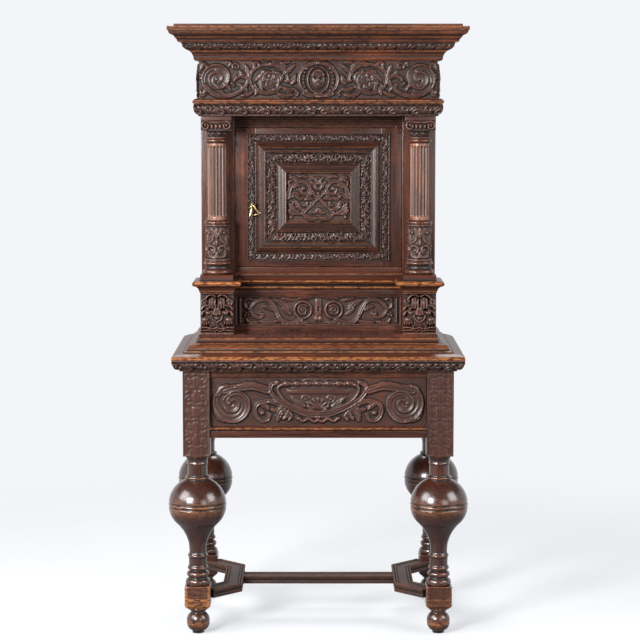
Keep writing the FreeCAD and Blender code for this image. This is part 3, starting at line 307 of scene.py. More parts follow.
# Legs: each one length of oak, left square as a block at the foot and a post at the head, and turned between
# into rings, a stem and a great bulb with a beaded middle. The front posts are shallow-carved on their face.
BLOCK_HALF = 37.5
BLOCK_LOW, BLOCK_HIGH = 74, 142
POST_HALF = 38.5
POST_LOW, POST_HIGH = 525, 772
POST_DEEP = 1.2
TURNING = [
    (33, 0, 0.35), (33, 0.045), (27, 0.055), (28, 0.065, 0.6), (28, 0.105), (22, 0.112), (27, 0.12, 0.6),
    (27, 0.148), (26, 0.155), (26, 0.21), (27, 0.218, 0.6), (27, 0.238), (24.5, 0.25, -0.05),
    (27, 0.33, -0.145), (61, 0.478, 0.195), (83, 0.6), (80, 0.605), (80, 0.609), (83, 0.614, 0.3),
    (83, 0.632), (80, 0.637), (80, 0.641), (83, 0.646, 0.28), (33, 0.815), (34, 0.818, 0.5), (34, 0.836),
    (28.5, 0.84), (28.5, 0.93), (30.5, 0.932), (30.5, 0.942), (29.5, 0.944, -0.3), (38.5, 0.995), (38.5, 1),
]


def slab(low, high, finish, rounding=1.5):
    """A board with rounded edges: points of a box drawn in to a smaller box, then out by the rounding."""
    low, high = np.array(low, float), np.array(high, float)
    ramp = rounding * np.array([0, 0.3, 0.65, 1])
    stops = [np.append(start + ramp, end - ramp[::-1]) for start, end in zip(low, high)]
    points = []
    faces = []
    count = len(stops[X])
    for axis in (X, Y, Z):
        across, along = (axis + 1) % 3, (axis + 2) % 3
        for limit, order in ((low, -1), (high, 1)):
            grid = np.empty((count, count, 3))
            grid[..., across], grid[..., along] = np.meshgrid(stops[across][::order], stops[along])
            grid[..., axis] = limit[axis]
            faces.append(quads(np.arange(count ** 2).reshape(count, count) + len(faces) * count ** 2))
            points.append(grid.reshape(-1, 3))
    points, places = np.unique(np.round(np.concatenate(points), 5), axis=0, return_inverse=True)
    core = np.clip(points, low + rounding, high - rounding)
    beyond = points - core
    wear = np.sort(np.abs(beyond), axis=1)[:, 1] / rounding
    points = core + rounding * beyond / np.linalg.norm(beyond, axis=1, keepdims=True)
    return Part(points, [places.ravel()[np.concatenate(faces)]], wear, 0 * wear, finish)


def strung(first, last, finish, bend, normal=None, carving=None):
    """A length of wood: each point of its first end drawn straight to the same point of its last end, pushed
    along the normal by the carving's relief, closed behind and capped at both ends."""
    share = np.linspace(0, 1, 2) if carving is None else (carving.x - carving.x[0]) / np.ptp(carving.x)
    points = first[:, None] + (last - first)[:, None] * share[:, None]
    wear, hollow = [tone[:, None] + 0 * share for tone in bend]
    if carving is not None:
        # The carving's tops are rubbed lighter, partly as painted highlight, and its lows get painted shade.
        relief, raised, sunk = [np.pad(tone, ((1, 1), (0, 0))) for tone in carving.tones()]
        points = points + normal[:, None] * relief[..., None]
        wear, hollow = np.maximum(wear, raised), np.maximum(hollow, sunk)
    number = np.arange(wear.size).reshape(wear.shape)
    faces = [quads(np.concatenate([number, number[:1]])), number[:, 0][None], number[::-1, -1][None]]
    return Part(points.reshape(-1, 3), faces, wear.ravel(), hollow.ravel(), finish)


def curve(*stops):
    """A smooth path through stops: each stretch is a cubic that leaves and meets its stops along their
    neighbours."""
    stops = np.array(stops, float)
    ends = np.concatenate([2 * stops[:1] - stops[1:2], stops, 2 * stops[-1:] - stops[-2:-1]])
    share = np.linspace(0, 1, 14, endpoint=False)[:, None, None]
    before, start, end, after = ends[:-3], ends[1:-2], ends[2:-1], ends[3:]
    bent = 2 * start + (end - before) * share
    bent = bent + (2 * before - 5 * start + 4 * end - after) * share ** 2
    bent = bent + (3 * start - before - 3 * end + after) * share ** 3
    return np.concatenate([bent.swapaxes(0, 1).reshape(-1, 2) / 2, stops[-1:]])


def spiral(x, z, outer, inner, start, turn, squash=1, hold=1.7):
    """A path winding in from one radius to another, slowly at first as hold grows; angles are in degrees, and
    turn is how far it winds."""
    share = np.linspace(0, 1, int(abs(turn) / 9) + 4)
    angle = np.radians(start + turn * share)
    radius = inner + (outer - inner) * (1 - share ** hold)
    return np.column_stack([x + radius * np.cos(angle), z + squash * radius * np.sin(angle)])


def rounded(across):
    """Section of a round stem, from its middle (0) to its edge (1)."""
    return np.sqrt(1 - across ** 2)


def rimmed(across):
    """Section of a strap with a raised rim along each edge."""
    return np.sqrt(1 - across ** 6) * (0.62 + 0.38 * bell(across, 0.74, 0.2))


def fluted(across):
    """Section of a broad band with three ribs along it."""
    return np.sqrt(1 - across ** 6) * (0.84 + 0.16 * np.cos(3 * np.pi * across))


class Carving:
    """Heights of a carved face over a grid of its width (x) and height (z), measured from its middle."""

    def __init__(self, width, height, step):
        self.x = np.linspace(-width / 2, width / 2, 2 * round(width / step / 2) + 1)
        self.z = np.linspace(-height / 2, height / 2, 2 * round(height / step / 2) + 1)
        self.step = step
        self.relief = np.zeros((len(self.z), len(self.x)))

    def window(self, low, high):
        """The part of the grid between two corners, and the places of its columns and rows."""
        rows = slice(*np.searchsorted(self.z, (low[1], high[1])))
        columns = slice(*np.searchsorted(self.x, (low[0], high[0])))
        return (rows, columns), self.x[None, columns], self.z[rows, None]

    def around(self, x, z, wide, high):
        """The window round a place, and how far its columns and rows are from there."""
        window, columns, rows = self.window((x - wide, z - high), (x + wide, z + high))
        return window, columns - x, rows - z

    def follow(self, path, reach):
        """The window round a path, and how far each of its points is from the path and along it."""
        window, x, z = self.window(path.min(0) - reach, path.max(0) + reach)
        start = path[:-1]
        stride = np.diff(path, axis=0)
        length = np.hypot(*stride.T)
        from_x, from_z = x[..., None] - start[:, 0], z[..., None] - start[:, 1]
        share = np.clip((from_x * stride[:, 0] + from_z * stride[:, 1]) / length ** 2, 0, 1)
        away = np.hypot(from_x - share * stride[:, 0], from_z - share * stride[:, 1])
        nearest = away.argmin(-1)[..., None]
        away, share = [np.take_along_axis(values, nearest, -1)[..., 0] for values in (away, share)]
        nearest = nearest[..., 0]
        run = np.cumsum(length)[nearest] - length[nearest] * (1 - share)
        return window, away, np.clip(run / length.sum(), 0, 1)

    def lift(self, window, height):
        """Raise what lies lower in a window to a height."""
        self.relief[window] = np.maximum(self.relief[window], height)

    def stem(self, path, half, height, section=rounded, tip=1.0):
        """A stem or strap along a path, narrowing to a share of its half width at the far end."""
        window, away, share = self.follow(path, half)
        taper = 1 + (tip - 1) * share
        across = away / (half * taper)
        shape = section(np.minimum(across, 1)) * np.sqrt(taper)
        self.lift(window, np.where(across < 1, height * shape, 0))

    def leaf(self, path, half, height, lobes):
        """A lobed leaf along a path, widest before its middle, with ribs from stalk to tip."""
        window, away, share = self.follow(path, half)
        wave = lobes * (share - 0.2 * away / half)
        spread = half * np.maximum(2.13 * share ** 0.5 * (1 - share) ** 0.6, 0.3 * (1 - share))
        across = away / np.maximum(spread * (0.8 + 0.2 * np.abs(np.cos(np.pi * wave))), 0.01)
        shape = rounded(np.minimum(across, 1)) * (0.78 + 0.22 * np.cos(3 * np.pi * across))
        self.lift(window, np.where(across < 1, height * shape, 0))

    def leaves(self, height, *leaves):
        """Leaves of one height, each given by its half width, its lobes and the stops of its path."""
        for half, lobes, *stops in leaves:
            self.leaf(curve(*stops), half, height, lobes)

    def dome(self, x, z, wide, high, height, power=2):
        """A rounded boss: half an ellipsoid, squarer as the power grows."""
        window, from_x, from_z = self.around(x, z, wide, high)
        left = 1 - np.abs(from_x / wide) ** power - np.abs(from_z / high) ** power
        self.lift(window, height * np.sqrt(np.maximum(left, 0)))

    def balls(self, radius, height, *places):
        """Round bosses of one size."""
        for x, z in places:
            self.dome(x, z, radius, radius, height)

    def rosette(self, x, z, radius, height, petals):
        """A flower: petals hollowed round a button."""
        window, from_x, from_z = self.around(x, z, radius, radius)
        away = np.hypot(from_x, from_z) / radius
        ripple = np.cos(petals * np.arctan2(from_z, from_x))
        petal = np.sqrt(np.maximum(1 - (away / (0.88 + 0.12 * ripple)) ** 4, 0))
        button = np.sqrt(np.maximum(1 - (away / 0.34) ** 2, 0))
        self.lift(window, height * np.maximum(petal * (0.5 + 0.2 * ripple + 0.3 * away), button))

    def volute(self, x, z, outer, height, start, turn):
        """A strap wound into an eye."""
        eye, half = 0.26 * outer, 0.24 * outer
        self.stem(spiral(x, z, outer - half, eye, start, turn), half, height, rimmed, 0.45)
        self.dome(x, z, eye, eye, height * 1.1)

    def whorl(self, x, z, radii, height, start, way=1):
        """A leaf wound into a scroll: a bead for its rim lies at the radii given for each quarter turn, and
        its face dips inward to the next turn of the rim, with fainter beads that close on the rim."""
        bead_half = 3.2
        window, from_x, from_z = self.around(x, z, max(radii), max(radii))
        away = np.hypot(from_x, from_z)
        quarter = (way * np.degrees(np.arctan2(from_z, from_x)) - start) % 360 / 90
        turns = range(0, len(radii) - 1, 4)
        rims = [np.interp(quarter + turn, np.arange(len(radii)), radii) for turn in turns]
        shape = 0 * away
        for rim, next_rim in zip(rims, rims[1:] + [0 * away]):
            inward = np.clip((rim - away) / (rim - next_rim), 0, 1)
            bead = rounded(np.minimum(np.abs(rim - away - bead_half) / bead_half, 1))
            beads = np.abs(np.cos(np.pi * (2.2 * inward - 0.3 * quarter))) * np.sqrt(inward * (1 - inward))
            face = (0.62 - 0.34 * inward + 0.42 * beads) * np.minimum((rim - away) / bead_half, 1)
            shape = np.where(away < rim, np.maximum(bead, face), shape)
        self.lift(window, height * shape)

    def groove(self, path, half, depth):
        """A V groove cut along a path."""
        window, away, _ = self.follow(path, half)
        self.relief[window] -= depth * np.maximum(1 - away / half, 0)

    def dent(self, x, z, wide, high, depth):
        """A rounded dip pressed into what is already there."""
        window, from_x, from_z = self.around(x, z, wide, high)
        self.relief[window] -= depth * np.sqrt(np.maximum(1 - (from_x / wide) ** 2 - (from_z / high) ** 2, 0))

    def rim(self, side, end, height):
        """A flat rim, as wide as side along the sides and as end along the ends."""
        outside = (np.abs(self.x) > self.x[-1] - side) | (np.abs(self.z[:, None]) > self.z[-1] - end)
        self.relief[outside] = height

    def mirror(self):
        """Repeat what is carved on each half on the other one."""
        self.relief = np.maximum(self.relief, self.relief[:, ::-1])

    def flipped(self):
        """The same carving with its ends changed over."""
        other = Carving(np.ptp(self.x), np.ptp(self.z), self.step)
        other.x, other.z, other.relief = self.x, self.z, self.relief[:, ::-1]
        return other

    def stipple(self, depth, below, seed):
        """Punch marks all over the ground that lies below a height."""
        marks = np.random.default_rng(seed).random(self.relief.shape)
        self.relief -= depth * marks * (self.relief < below)

    def mean(self, reach):
        """The relief evened out by a running mean over a reach to each side of every place."""
        even = self.relief
        count = max(1, round(reach / self.step))
        for axis in (0, 1):
            margins = [(count + 1, count) if side == axis else (0, 0) for side in (0, 1)]
            total = np.cumsum(np.pad(even, margins, mode="edge"), axis=axis)
            ahead = np.take(total, np.arange(2 * count + 1, total.shape[axis]), axis)
            behind = np.take(total, np.arange(0, total.shape[axis] - 2 * count - 1), axis)
            even = (ahead - behind) / (2 * count + 1)
        return even

    def soften(self, reach):
        """Even the carving out over a reach."""
        self.relief = self.mean(reach)

    def tones(self):
        """The relief, and how far each place stands above and lies below the places round it, from 0 to 1:
        the first lightens the tops as rubbed wear and painted highlight, the second darkens the lows as
        painted shade.
        """
        above = self.relief - self.mean(6)
        return self.relief, np.clip(above / 4 - 0.1, 0, 1), np.clip(-above / 1.7, 0, 0.97)


def at(line, x, y, z, out):
    """A line of (out, up) points set up at a place, out along a direction in plan."""
    return np.array([x, y, z]) + line[:, :1] * np.array([*out, 0]) + line[:, 1:] * np.array([0, 0, 1])


def backed(line, back):
    """A line with a point behind each of its ends, how sharply it bends, and the way it faces."""
    stride = np.gradient(line, axis=0)
    facing = np.column_stack([stride[:, 1], -stride[:, 0]]) / np.hypot(*stride.T)[:, None]
    whole = np.concatenate([[[back, line[0, 1]]], line, [[back, line[-1, 1]]]])
    return whole, np.pad(np.array(bends(line)), ((0, 0), (1, 1))), np.pad(facing, ((1, 1), (0, 0)))


def carved_board(design, ground, low, high, finish):
    """A board carved on its front with a design of its width and height: the ground lies a depth behind the
    blank's face, and the tops reach it."""
    carving = design(high[X] - low[X], high[Z] - low[Z])
    height = carving.z - carving.z[0]
    line, bend, facing = backed(np.column_stack([0 * height - ground, height]), low[Y] - high[Y])
    first, last = [at(line, x, *low[Y:], (0, -1)) for x in (low[X], high[X])]
    return strung(first, last, finish, bend, at(facing, 0, 0, 0, (0, -1)), carving)


def post_carving(width, height):
    """Straps, hearts and fans cut shallow on a post, one over another, round a plain tablet."""
    carving = Carving(width, height, 0.9)
    strap = curve((0, 20), (-14, 15), (-28, 18), (-31, 2), (-20, -8), (-13, 2))
    upright, branch = curve((0, -22), (-5, -4), (-3, 12)), curve((-8, -20), (-20, -22), (-31, -14))
    for z, way in ((96, 1), (44, -1), (-34, 1), (-80, -1)):
        middle, flip = np.array([0, z]), np.array([1, way])
        carving.stem(middle + strap * flip, 3.4, POST_DEEP, rimmed, 0.8)
        carving.leaf(middle + upright * flip, 8, POST_DEEP, 3)
        carving.leaf(middle + branch * flip, 6, POST_DEEP, 3)
        carving.balls(3.5, POST_DEEP, (-20, z + 3 * way))
    carving.dome(0, 5, 12, 15, POST_DEEP * 1.2, 8)
    carving.volute(-24, 5, 9, POST_DEEP, 0, 420)
    for angle in np.radians(range(90, 181, 18)):
        across, up = np.cos(angle), np.sin(angle)
        carving.leaf(curve((3 * across, -117), (22 * across, -117 + 22 * up)), 5, POST_DEEP, 2)
    carving.mirror()
    carving.rim(4, 4, POST_DEEP)
    carving.soften(1.8)
    return carving


def squared(line, sides):
    """How far a round turning of a line is pushed out to make it square, with softened corners, and how near
    each point is to a corner."""
    angle = circle(sides)
    corner = (np.abs(np.cos(angle)) ** 16 + np.abs(np.sin(angle)) ** 16) ** (-1 / 16)
    return line[:, :1] * (corner - 1), np.clip(corner * 10 - 12.4, 0, 1) + 0 * line[:, :1]


# The carved oak's worn colour, a pale grey brown on the carvings' tops, is partly wear and partly painted
# sheen.
CARVED = {
    "dark": (0.04, 0.0155, 0.011), "brown": (0.075, 0.0295, 0.0205), "red": (0.11, 0.036, 0.021),
    "worn": (0.26, 0.125, 0.085), "gloss": 0.22, "coat": 0.0,
}
carved_x, carved_z = oaks("carved_oak", (X, Z), **CARVED)
turning_high = POST_LOW - BLOCK_HIGH
turning = profile([(radius, share * turning_high, *bulge) for radius, share, *bulge in TURNING], 1.2, 1.3)
belly_wear = 0.85 * bell(turning[:, 1:], 236, 20)
block_high = BLOCK_HIGH - BLOCK_LOW
block_line = profile(
    [(BLOCK_HALF - 10, 0), (BLOCK_HALF, 10), (BLOCK_HALF, block_high), (BLOCK_HALF - 6, block_high)],
    2.4, 1.2)
BLOCK_SIDES = 128
# How far each block is rubbed lighter: most at the front left. The rear legs are kept dark, with little wear
# and none round the bulb, as painted shade.
BLOCK_WEAR_AND_SHADE = {"leg_front_left": 2, "leg_front_right": 0.7, "leg_rear_left": 0.2, "leg_rear_right": 0.2}
block_push, block_corners = squared(block_line, BLOCK_SIDES)
block_up = block_line[:, 1:]
block_wear = np.clip(block_corners + np.clip(1.4 - block_up / 20, 0.16, 1) + bell(block_up, 29, 3.5), 0, 1)
for leg_name, (leg_x, leg_y) in leg_places.items():
    is_front = leg_y < 0
    ends = (leg_x - POST_HALF, leg_y - POST_HALF, POST_LOW), (leg_x + POST_HALF, leg_y + POST_HALF, POST_HIGH)
    parts = [
        turned(block_line, (leg_x, leg_y, BLOCK_LOW), turned_z, BLOCK_SIDES, block_push,
               block_wear * BLOCK_WEAR_AND_SHADE[leg_name]),
        # The rear bulbs get no rubbed belly, as painted shade.
        turned(turning, (leg_x, leg_y, BLOCK_HIGH), turned_z, 96, wear=belly_wear * is_front),
        carved_board(post_carving, POST_DEEP, *ends, carved_z) if is_front else slab(*ends, oak_z),
    ]
    piece(f"turned_{leg_name}", parts, "stained_oak", leg_name, rubbed=0.4 if is_front else 0.15, arris=80)

# Stretchers: flat oak lengths, a sunk band between two beads, that leave the blocks' inner corners at 45
# degrees and are mitred into a length along each side. A cross stretcher joins the two sides in the middle.
STRETCHER_LOW = 100
SIDE_HALF = 29
CROSS_HALF = 25
BOW = 97
BEADED = [
    (1, 0), (2, 9), (4, 11), (1, 14), (0, 20), (1, 25), (5, 26), (6, 22), (7, 22), (9, 25.5), (12, 25.5),
    (13, 23),
]


def stretcher(half, stops, rights, finish):
    """A beaded length between two places in plan, given the direction of its right side at each."""
    right = [(half - inward, up) for inward, up in BEADED]
    line = profile(right + [(-out, up) for out, up in reversed(right)], 0.8, 0.5)
    first, last = [at(line, *stop, STRETCHER_LOW, out) for stop, out in zip(stops, rights)]
    return strung(first, last, finish, bends(line))


DARK = dict(STAIN, dark=(0.016, 0.006, 0.0042), brown=(0.048, 0.0165, 0.011), red=(0.12, 0.033, 0.0155))
dull_x, dull_y = oaks("dull_oak", (X, Y), **dict(DARK, gloss=0.36, coat=0.0))
mitre = math.tan(math.pi / 8)
slant = math.sqrt(0.5)
bow_y = LEG_Y - BOW
block_inset = BLOCK_HALF - 12
for side, sign in (("left", -1), ("right", 1)):
    bow_x = (LEG_X - BOW) * sign
    block_x = (LEG_X - block_inset) * sign
    block_y = LEG_Y - block_inset
    front_cut, rear_cut = (1, mitre * sign), (1, -mitre * sign)
    front_end, rear_end = (slant, slant * sign), (slant, -slant * sign)
    lengths = [stretcher(SIDE_HALF, places, rights, dull_y) for places, rights in (
        ([(bow_x, -bow_y), (bow_x, bow_y)], [front_cut, rear_cut]),
        ([(block_x, -block_y), (bow_x, -bow_y)], [front_end, front_cut]),
        ([(bow_x, bow_y), (block_x, block_y)], [rear_cut, rear_end]),
    )]
    piece(f"moulded_stretcher_{side}", lengths, "stained_oak", f"stretcher_{side}", rubbed=0.15)
cross_x = LEG_X - BOW - SIDE_HALF + 2
cross = stretcher(CROSS_HALF, [(-cross_x, 0), (cross_x, 0)], [(0, -1), (0, -1)], dull_x)
piece("moulded_cross_stretcher", [cross], "stained_oak", "cross_stretcher", rubbed=0.15)

# Front rails of the stand: a reeded oak rail over the drawer and a plain one with eased edges under it. Both
# are tenoned into the posts.
def along_front(node, line, back, finish):
    """A straight length of a blank's width: a line of (out, up) points at its front, closed at a back."""
    low, high = box(node)
    line, bend, _ = backed(line, back)
    return strung(*[at(line, x, *low[Y:], (0, -1)) for x in (low[X], high[X])], finish, bend)


def reeded(node, reeds):
    """A rail whose front is worked into half-round reeds between two flat edges."""
    low, high = box(node)
    height = high[Z] - low[Z]
    back = low[Y] - high[Y]
    face = back * 0.12
    pitch = height * 0.76 / reeds
    corners = [(face - 3, 0), (face, 0)]
    corners += [(face, height * 0.12 + pitch * count, 0.6) for count in range(reeds)]
    corners += [(face, height * 0.88), (face, height), (face - 3, height)]
    return along_front(node, profile(corners, 0.8, 0.4), back, oak_x)


piece("reeded_top_rail", [reeded("reeded_rail", 3)], "stained_oak", "reeded_rail", rubbed=0.15)
piece("rounded_lower_rail", [slab(*box("lower_front_rail"), oak_x)], "stained_oak", "lower_front_rail")

# Stand drawer: an oak front carved with a footed vase between leafy scrolls, over a moulded lip that the
# fingers pull by. Its plain box of thinner oak is dovetailed behind.
LIP = [(-8.7, 0), (-2.9, 1.7, 0.75), (-2.9, 9.2), (-5.8, 9.8), (-8.7, 11.5)]
LIP_BACK = -29
DRAWER_DEEP = 9


def drawer_carving(width, height):
    """Vase in the middle with straps for handles; on each side a leafy volute and a great scroll."""
    carving = Carving(width, height, 1.15)
    deep = DRAWER_DEEP
    carving.whorl(-247, -5, (60, 56, 57, 52, 33, 29, 27, 22, 12), deep, 110)
    carving.stem(curve((-145, 35), (-181, 45), (-213, 44), (-243, 41), (-271, 33)), 13, deep, fluted, 0.9)
    carving.leaves(
        deep * 1.1, (13, 4, (-151, 37), (-183, 49), (-217, 49), (-241, 45)),
        (12, 3, (-253, 47), (-277, 39), (-295, 13)), (10, 4, (-299, -21), (-281, -47), (-247, -55)))
    carving.dome(-255, -3, 5, 7, deep)
    strap = curve((-126, 2), (-150, 3), (-172, -4), (-182, -20), (-178, -40), (-162, -54), (-145, -50),
                  (-139, -36))
    carving.stem(strap, 7, deep, rimmed, 0.75)
    carving.balls(8, deep, (-161, -31), (-118, 56))
    carving.leaves(
        deep * 0.95, (10, 3, (-170, -2), (-152, -10), (-142, -24)), (13, 4, (-96, -14), (-118, 0), (-146, 2)),
        (10, 3, (-104, -10), (-116, -24), (-138, -20)), (12, 4, (-92, -18), (-110, -32), (-118, -58)),
        (9, 3, (-86, -22), (-92, -40), (-104, -52)), (7, 3, (-84, -26), (-78, -42), (-88, -56)))
    handle = curve((-118, 58), (-134, 50), (-136, 30), (-118, 8), (-92, -10), (-62, -26), (-30, -37),
                   (0, -40))
    carving.stem(handle, 6.5, deep, rimmed)
    bowl = curve((-104, 52), (-116, 40), (-112, 22), (-96, 4), (-72, -10), (-36, -24), (0, -30))
    carving.stem(bowl, 5.5, deep * 0.9)
    carving.balls(7, deep, (-104, 50))
    carving.dome(0, 22, 84, 50, deep * 0.45)
    carving.dome(0, 31, 90, 8, deep * 0.8, 6)
    for x in range(-90, 1, 30):
        carving.dome(x, 54, 14, 9.5, deep)
        carving.dome(x - 15, 52, 3.5, 7, deep * 0.9)
    shell = np.array([0, -20])
    shell_radius = 29
    for angle in np.radians(np.linspace(15, 165, 7)):
        tip = shell + shell_radius * np.array([np.cos(angle), np.sin(angle)])
        carving.stem(np.array([tip, shell]), shell_radius * 0.19, deep, rounded, 0.3)
    carving.volute(-37, 8, 14, deep * 0.95, 20, 420)
    carving.leaves(deep * 0.8, (10, 4, (-74, 12), (-60, -2), (-36, -14)))
    carving.stem(curve((-30, -2), (-26, -16), (-10, -26), (0, -27)), 4, deep * 0.9)
    carving.stem(curve((-56, -47), (-44, -55), (-28, -48), (-12, -56), (0, -51)), 5.5, deep * 0.9)
    carving.dome(-57, -47, 8, 6.5, deep)
    carving.mirror()
    carving.soften(1.6)
    carving.stipple(0.4, 0.3, 2)
    return carving


def carved_front(node, body, name, design, deep):
    """A moving front: a board that fills its blank, carved to a depth with a design."""
    front = carved_board(design, deep, *box(node), carved_x)
    piece(name, [front], "carved_oak", node, body=body, rubbed=0.5, arris=80)


carved_front("stand_drawer_front", "stand_drawer", "carved_stand_drawer_front", drawer_carving, DRAWER_DEEP)
lip = along_front("stand_drawer_lip", profile(LIP, 0.9), LIP_BACK, oak_x)
piece("moulded_drawer_lip", [lip], "stained_oak", "stand_drawer_lip", body="stand_drawer", rubbed=0.5)

# Table edge and ledge: an ovolo carved with running leaves, and over it a stepped ledge that narrows to the
# case. Both are oak lengths on the sides and the front, mitred at the corners and glued to the stand's top.
Place = namedtuple("Place", "middle half front back low")


def round_case(node):
    """The place of a blank that runs round three sides, to a tenth of a millimetre."""
    low, high = [np.round(corner, 1) for corner in box(node)]
    return Place(0, high[X], low[Y], high[Y], low[Z])


def three_sided(place, line, depth, finishes, front_carving=None, side_carving=None, worn=(0, 0)):
    """A moulding along the left side, the front and the right side of a place, mitred at the two corners, and
    worn all over between two heights."""
    line, bend, facing = backed(line, -depth)
    bend[0, (line[:, 1] > worn[0]) & (line[:, 1] < worn[1])] = 0.75
    left, right = place.middle - place.half, place.middle + place.half
    front_left, front_right = (left, place.front, (-1, -1)), (right, place.front, (1, -1))
    along_x, along_y = finishes
    lengths = []
    for start, end, turn, finish, carving in (
        ((left, place.back, (-1, 0)), front_left, (-1, 0), along_y, side_carving),
        (front_left, front_right, (0, -1), along_x, front_carving),
        (front_right, (right, place.back, (1, 0)), (1, 0), along_y, side_carving and side_carving.flipped()),
    ):
        first, last = [at(line, x, y, place.low, out) for x, y, out in (start, end)]
        lengths.append(strung(first, last, finish, bend, at(facing, 0, 0, 0, turn), carving))
    return lengths


def shares(node, corners, depth):
    """Corners of (set back, up, bulge), in shares of a depth and a blank's height, made (out, up, bulge)."""
    low, high = box(node)
    return [(-back * depth, up * (high[Z] - low[Z]), *bulge) for back, up, *bulge in corners]


def plain_run(node, corners, depth, behind, finishes, worn=(0, 0)):
    """A plain moulding round three sides, of a depth, with wood for a way behind its face."""
    return three_sided(round_case(node), profile(shares(node, corners, depth)), behind, finishes, worn=worn)


def carved_line(corners, width, step):
    """A moulding's line, and a blank carving to lay along it that has a row for each of its points."""
    length = np.hypot(*np.diff(profile(corners, 1.2), axis=0).T).sum()
    carving = Carving(width, length, step)
    return profile(corners, 1.2, count=len(carving.z)), carving


def vine(carving, low, high, pitch, height, first):
    """A running vine between two heights of a carving, from a place to its end: a wave of stem, with a curl
    and three leaves in every bend, larger and smaller by turns."""
    tall = high - low
    middle = (low + high) / 2
    last = carving.x[-1]
    run = np.arange(first, last)
    wave = np.sin(2 * np.pi * (run - first) / pitch)
    carving.stem(np.column_stack([run, middle + 0.2 * tall * wave]), 0.07 * tall, 0.8 * height)
    for count, x in enumerate(np.arange(first + pitch / 4, last, pitch / 2)):
        way = 1 - 2 * (count % 2)
        swell = 0.9 + 0.25 * (0.62 * count % 1)
        curl = spiral(x, middle - 0.12 * tall * way, 0.27 * tall, 0.1 * tall, 90 * way, -400 * way)
        carving.stem(curl, 0.1 * tall, height)
        for start, up, end, top in (
            (-0.22, 0.04, -0.03, 0.4), (0.03, 0.08, 0.24, 0.38), (0.12, -0.06, 0.26, -0.38),
        ):
            stalk = (x + start * pitch, middle + up * tall * way)
            tip = (x + end * swell * pitch, middle + top * tall * way)
            carving.leaf(curve(stalk, tip), 0.19 * swell * tall, height, 2)


def leafy_run(node, corners, depth, behind, band, pitch, deep):
    """A moulding round three sides with running leaves on a band of its line: outward from the middle of the
    front, and backward along the sides."""
    place = round_case(node)
    corners = shares(node, corners, depth)
    line, front_carving = carved_line(corners, 2 * place.half, 1.25)
    _, side_carving = carved_line(corners, place.back - place.front, 1.25)
    bottom, top = [front_carving.z[0] + share * np.ptp(front_carving.z) for share in band]
    vine(front_carving, bottom, top, pitch, deep, 0)
    front_carving.mirror()
    vine(side_carving, bottom, top, pitch, deep, side_carving.x[0])
    for carving in (front_carving, side_carving):
        inside = (carving.z > bottom) & (carving.z < top)
        carving.relief = (carving.mean(1.1) - deep) * inside[:, None]
    return three_sided(place, line, behind, (shaded_x, shaded_y), front_carving, side_carving.flipped())


EDGE = [(0.9, 0, 0.4), (0, 0.86), (0, 1), (0.2, 1)]
EDGE_DEPTH = 30
LEDGE = [
    (0, 0), (0, 0.13), (0.02, 0.16, 0.1), (0.43, 0.3), (0.44, 0.37), (0.56, 0.4), (0.56, 0.43, 0.35),
    (0.72, 0.7), (0.74, 0.74), (0.85, 0.75, -0.3), (0.95, 0.92), (0.97, 0.97), (1, 1),
]
LEDGE_DEPTH = 78.5
# SHADED is the carved oak made darker, as painted shade on the carved runs, the frieze and the door's
# borders.
SHADED = dict(CARVED, dark=(0.026, 0.0101, 0.0072), brown=(0.054, 0.0213, 0.0148), red=(0.085, 0.028, 0.0165))
POLISHED = {
    "dark": (0.05, 0.0145, 0.008), "brown": (0.088, 0.025, 0.0125), "red": (0.15, 0.04, 0.017),
    "worn": (0.5, 0.19, 0.058), "gloss": 0.18, "coat": 0.0,
}
shaded_x, shaded_y, shaded_z = oaks("shaded_oak", (X, Y, Z), **SHADED)
polished_x, polished_y = oaks("polished_oak", (X, Y), **POLISHED)
edge = leafy_run("table_edge_carving", EDGE, EDGE_DEPTH, EDGE_DEPTH, band=(0.1, 0.8), pitch=72, deep=7)
piece("carved_table_edge", edge, "carved_oak", "table_edge_carving", rubbed=0.5, arris=80)
polished = (polished_x, polished_y)
ledge = plain_run("ledge_moulding", LEDGE, LEDGE_DEPTH, LEDGE_DEPTH + 12, polished, worn=(1, 5))
piece("stepped_ledge", ledge, "stained_oak", "ledge_moulding", rubbed=0.8)

# Pedestals: two oak blocks under the columns, each faced with a panel carved as a lion's mask with its paws
# below, and covered by a cap moulded on three sides. A moulded surbase runs between the caps.
SIGNS = (-1, 1)
COLUMN_X = 292
PEDESTAL_HALF = 48
LION_DEEP = 21
CAP_HALF = 68
CAP_FRONT = -220
CAP_DEPTH = 20
CAP_WORN = (25.5, 30.5)
CAP = [
    (1, 0), (0.9, 0.06, -0.35), (0.15, 0.38), (0, 0.42, 0.3), (0, 0.61), (0.15, 0.66), (1.05, 0.7), (1.05, 1),
]
SURBASE = [
    (1, 0), (0.94, 0.02), (0.78, 0.06), (0.62, 0.08, 0.4), (0.62, 0.18), (0.8, 0.2), (0.78, 0.24, -0.3),
    (0.4, 0.36), (0.38, 0.4), (0.2, 0.42), (0, 0.46, 0.4), (0, 0.56), (0.16, 0.59), (0.9, 0.82), (0.92, 0.92),
    (1.05, 1),
]
SURBASE_BACK = -40


def one_of_pair(node, sign):
    """Lowest and highest corner of the left or the right one of two blanks as wide as a pedestal."""
    low, high = box(node)
    low[X], high[X] = COLUMN_X * sign - PEDESTAL_HALF, COLUMN_X * sign + PEDESTAL_HALF
    return low, high


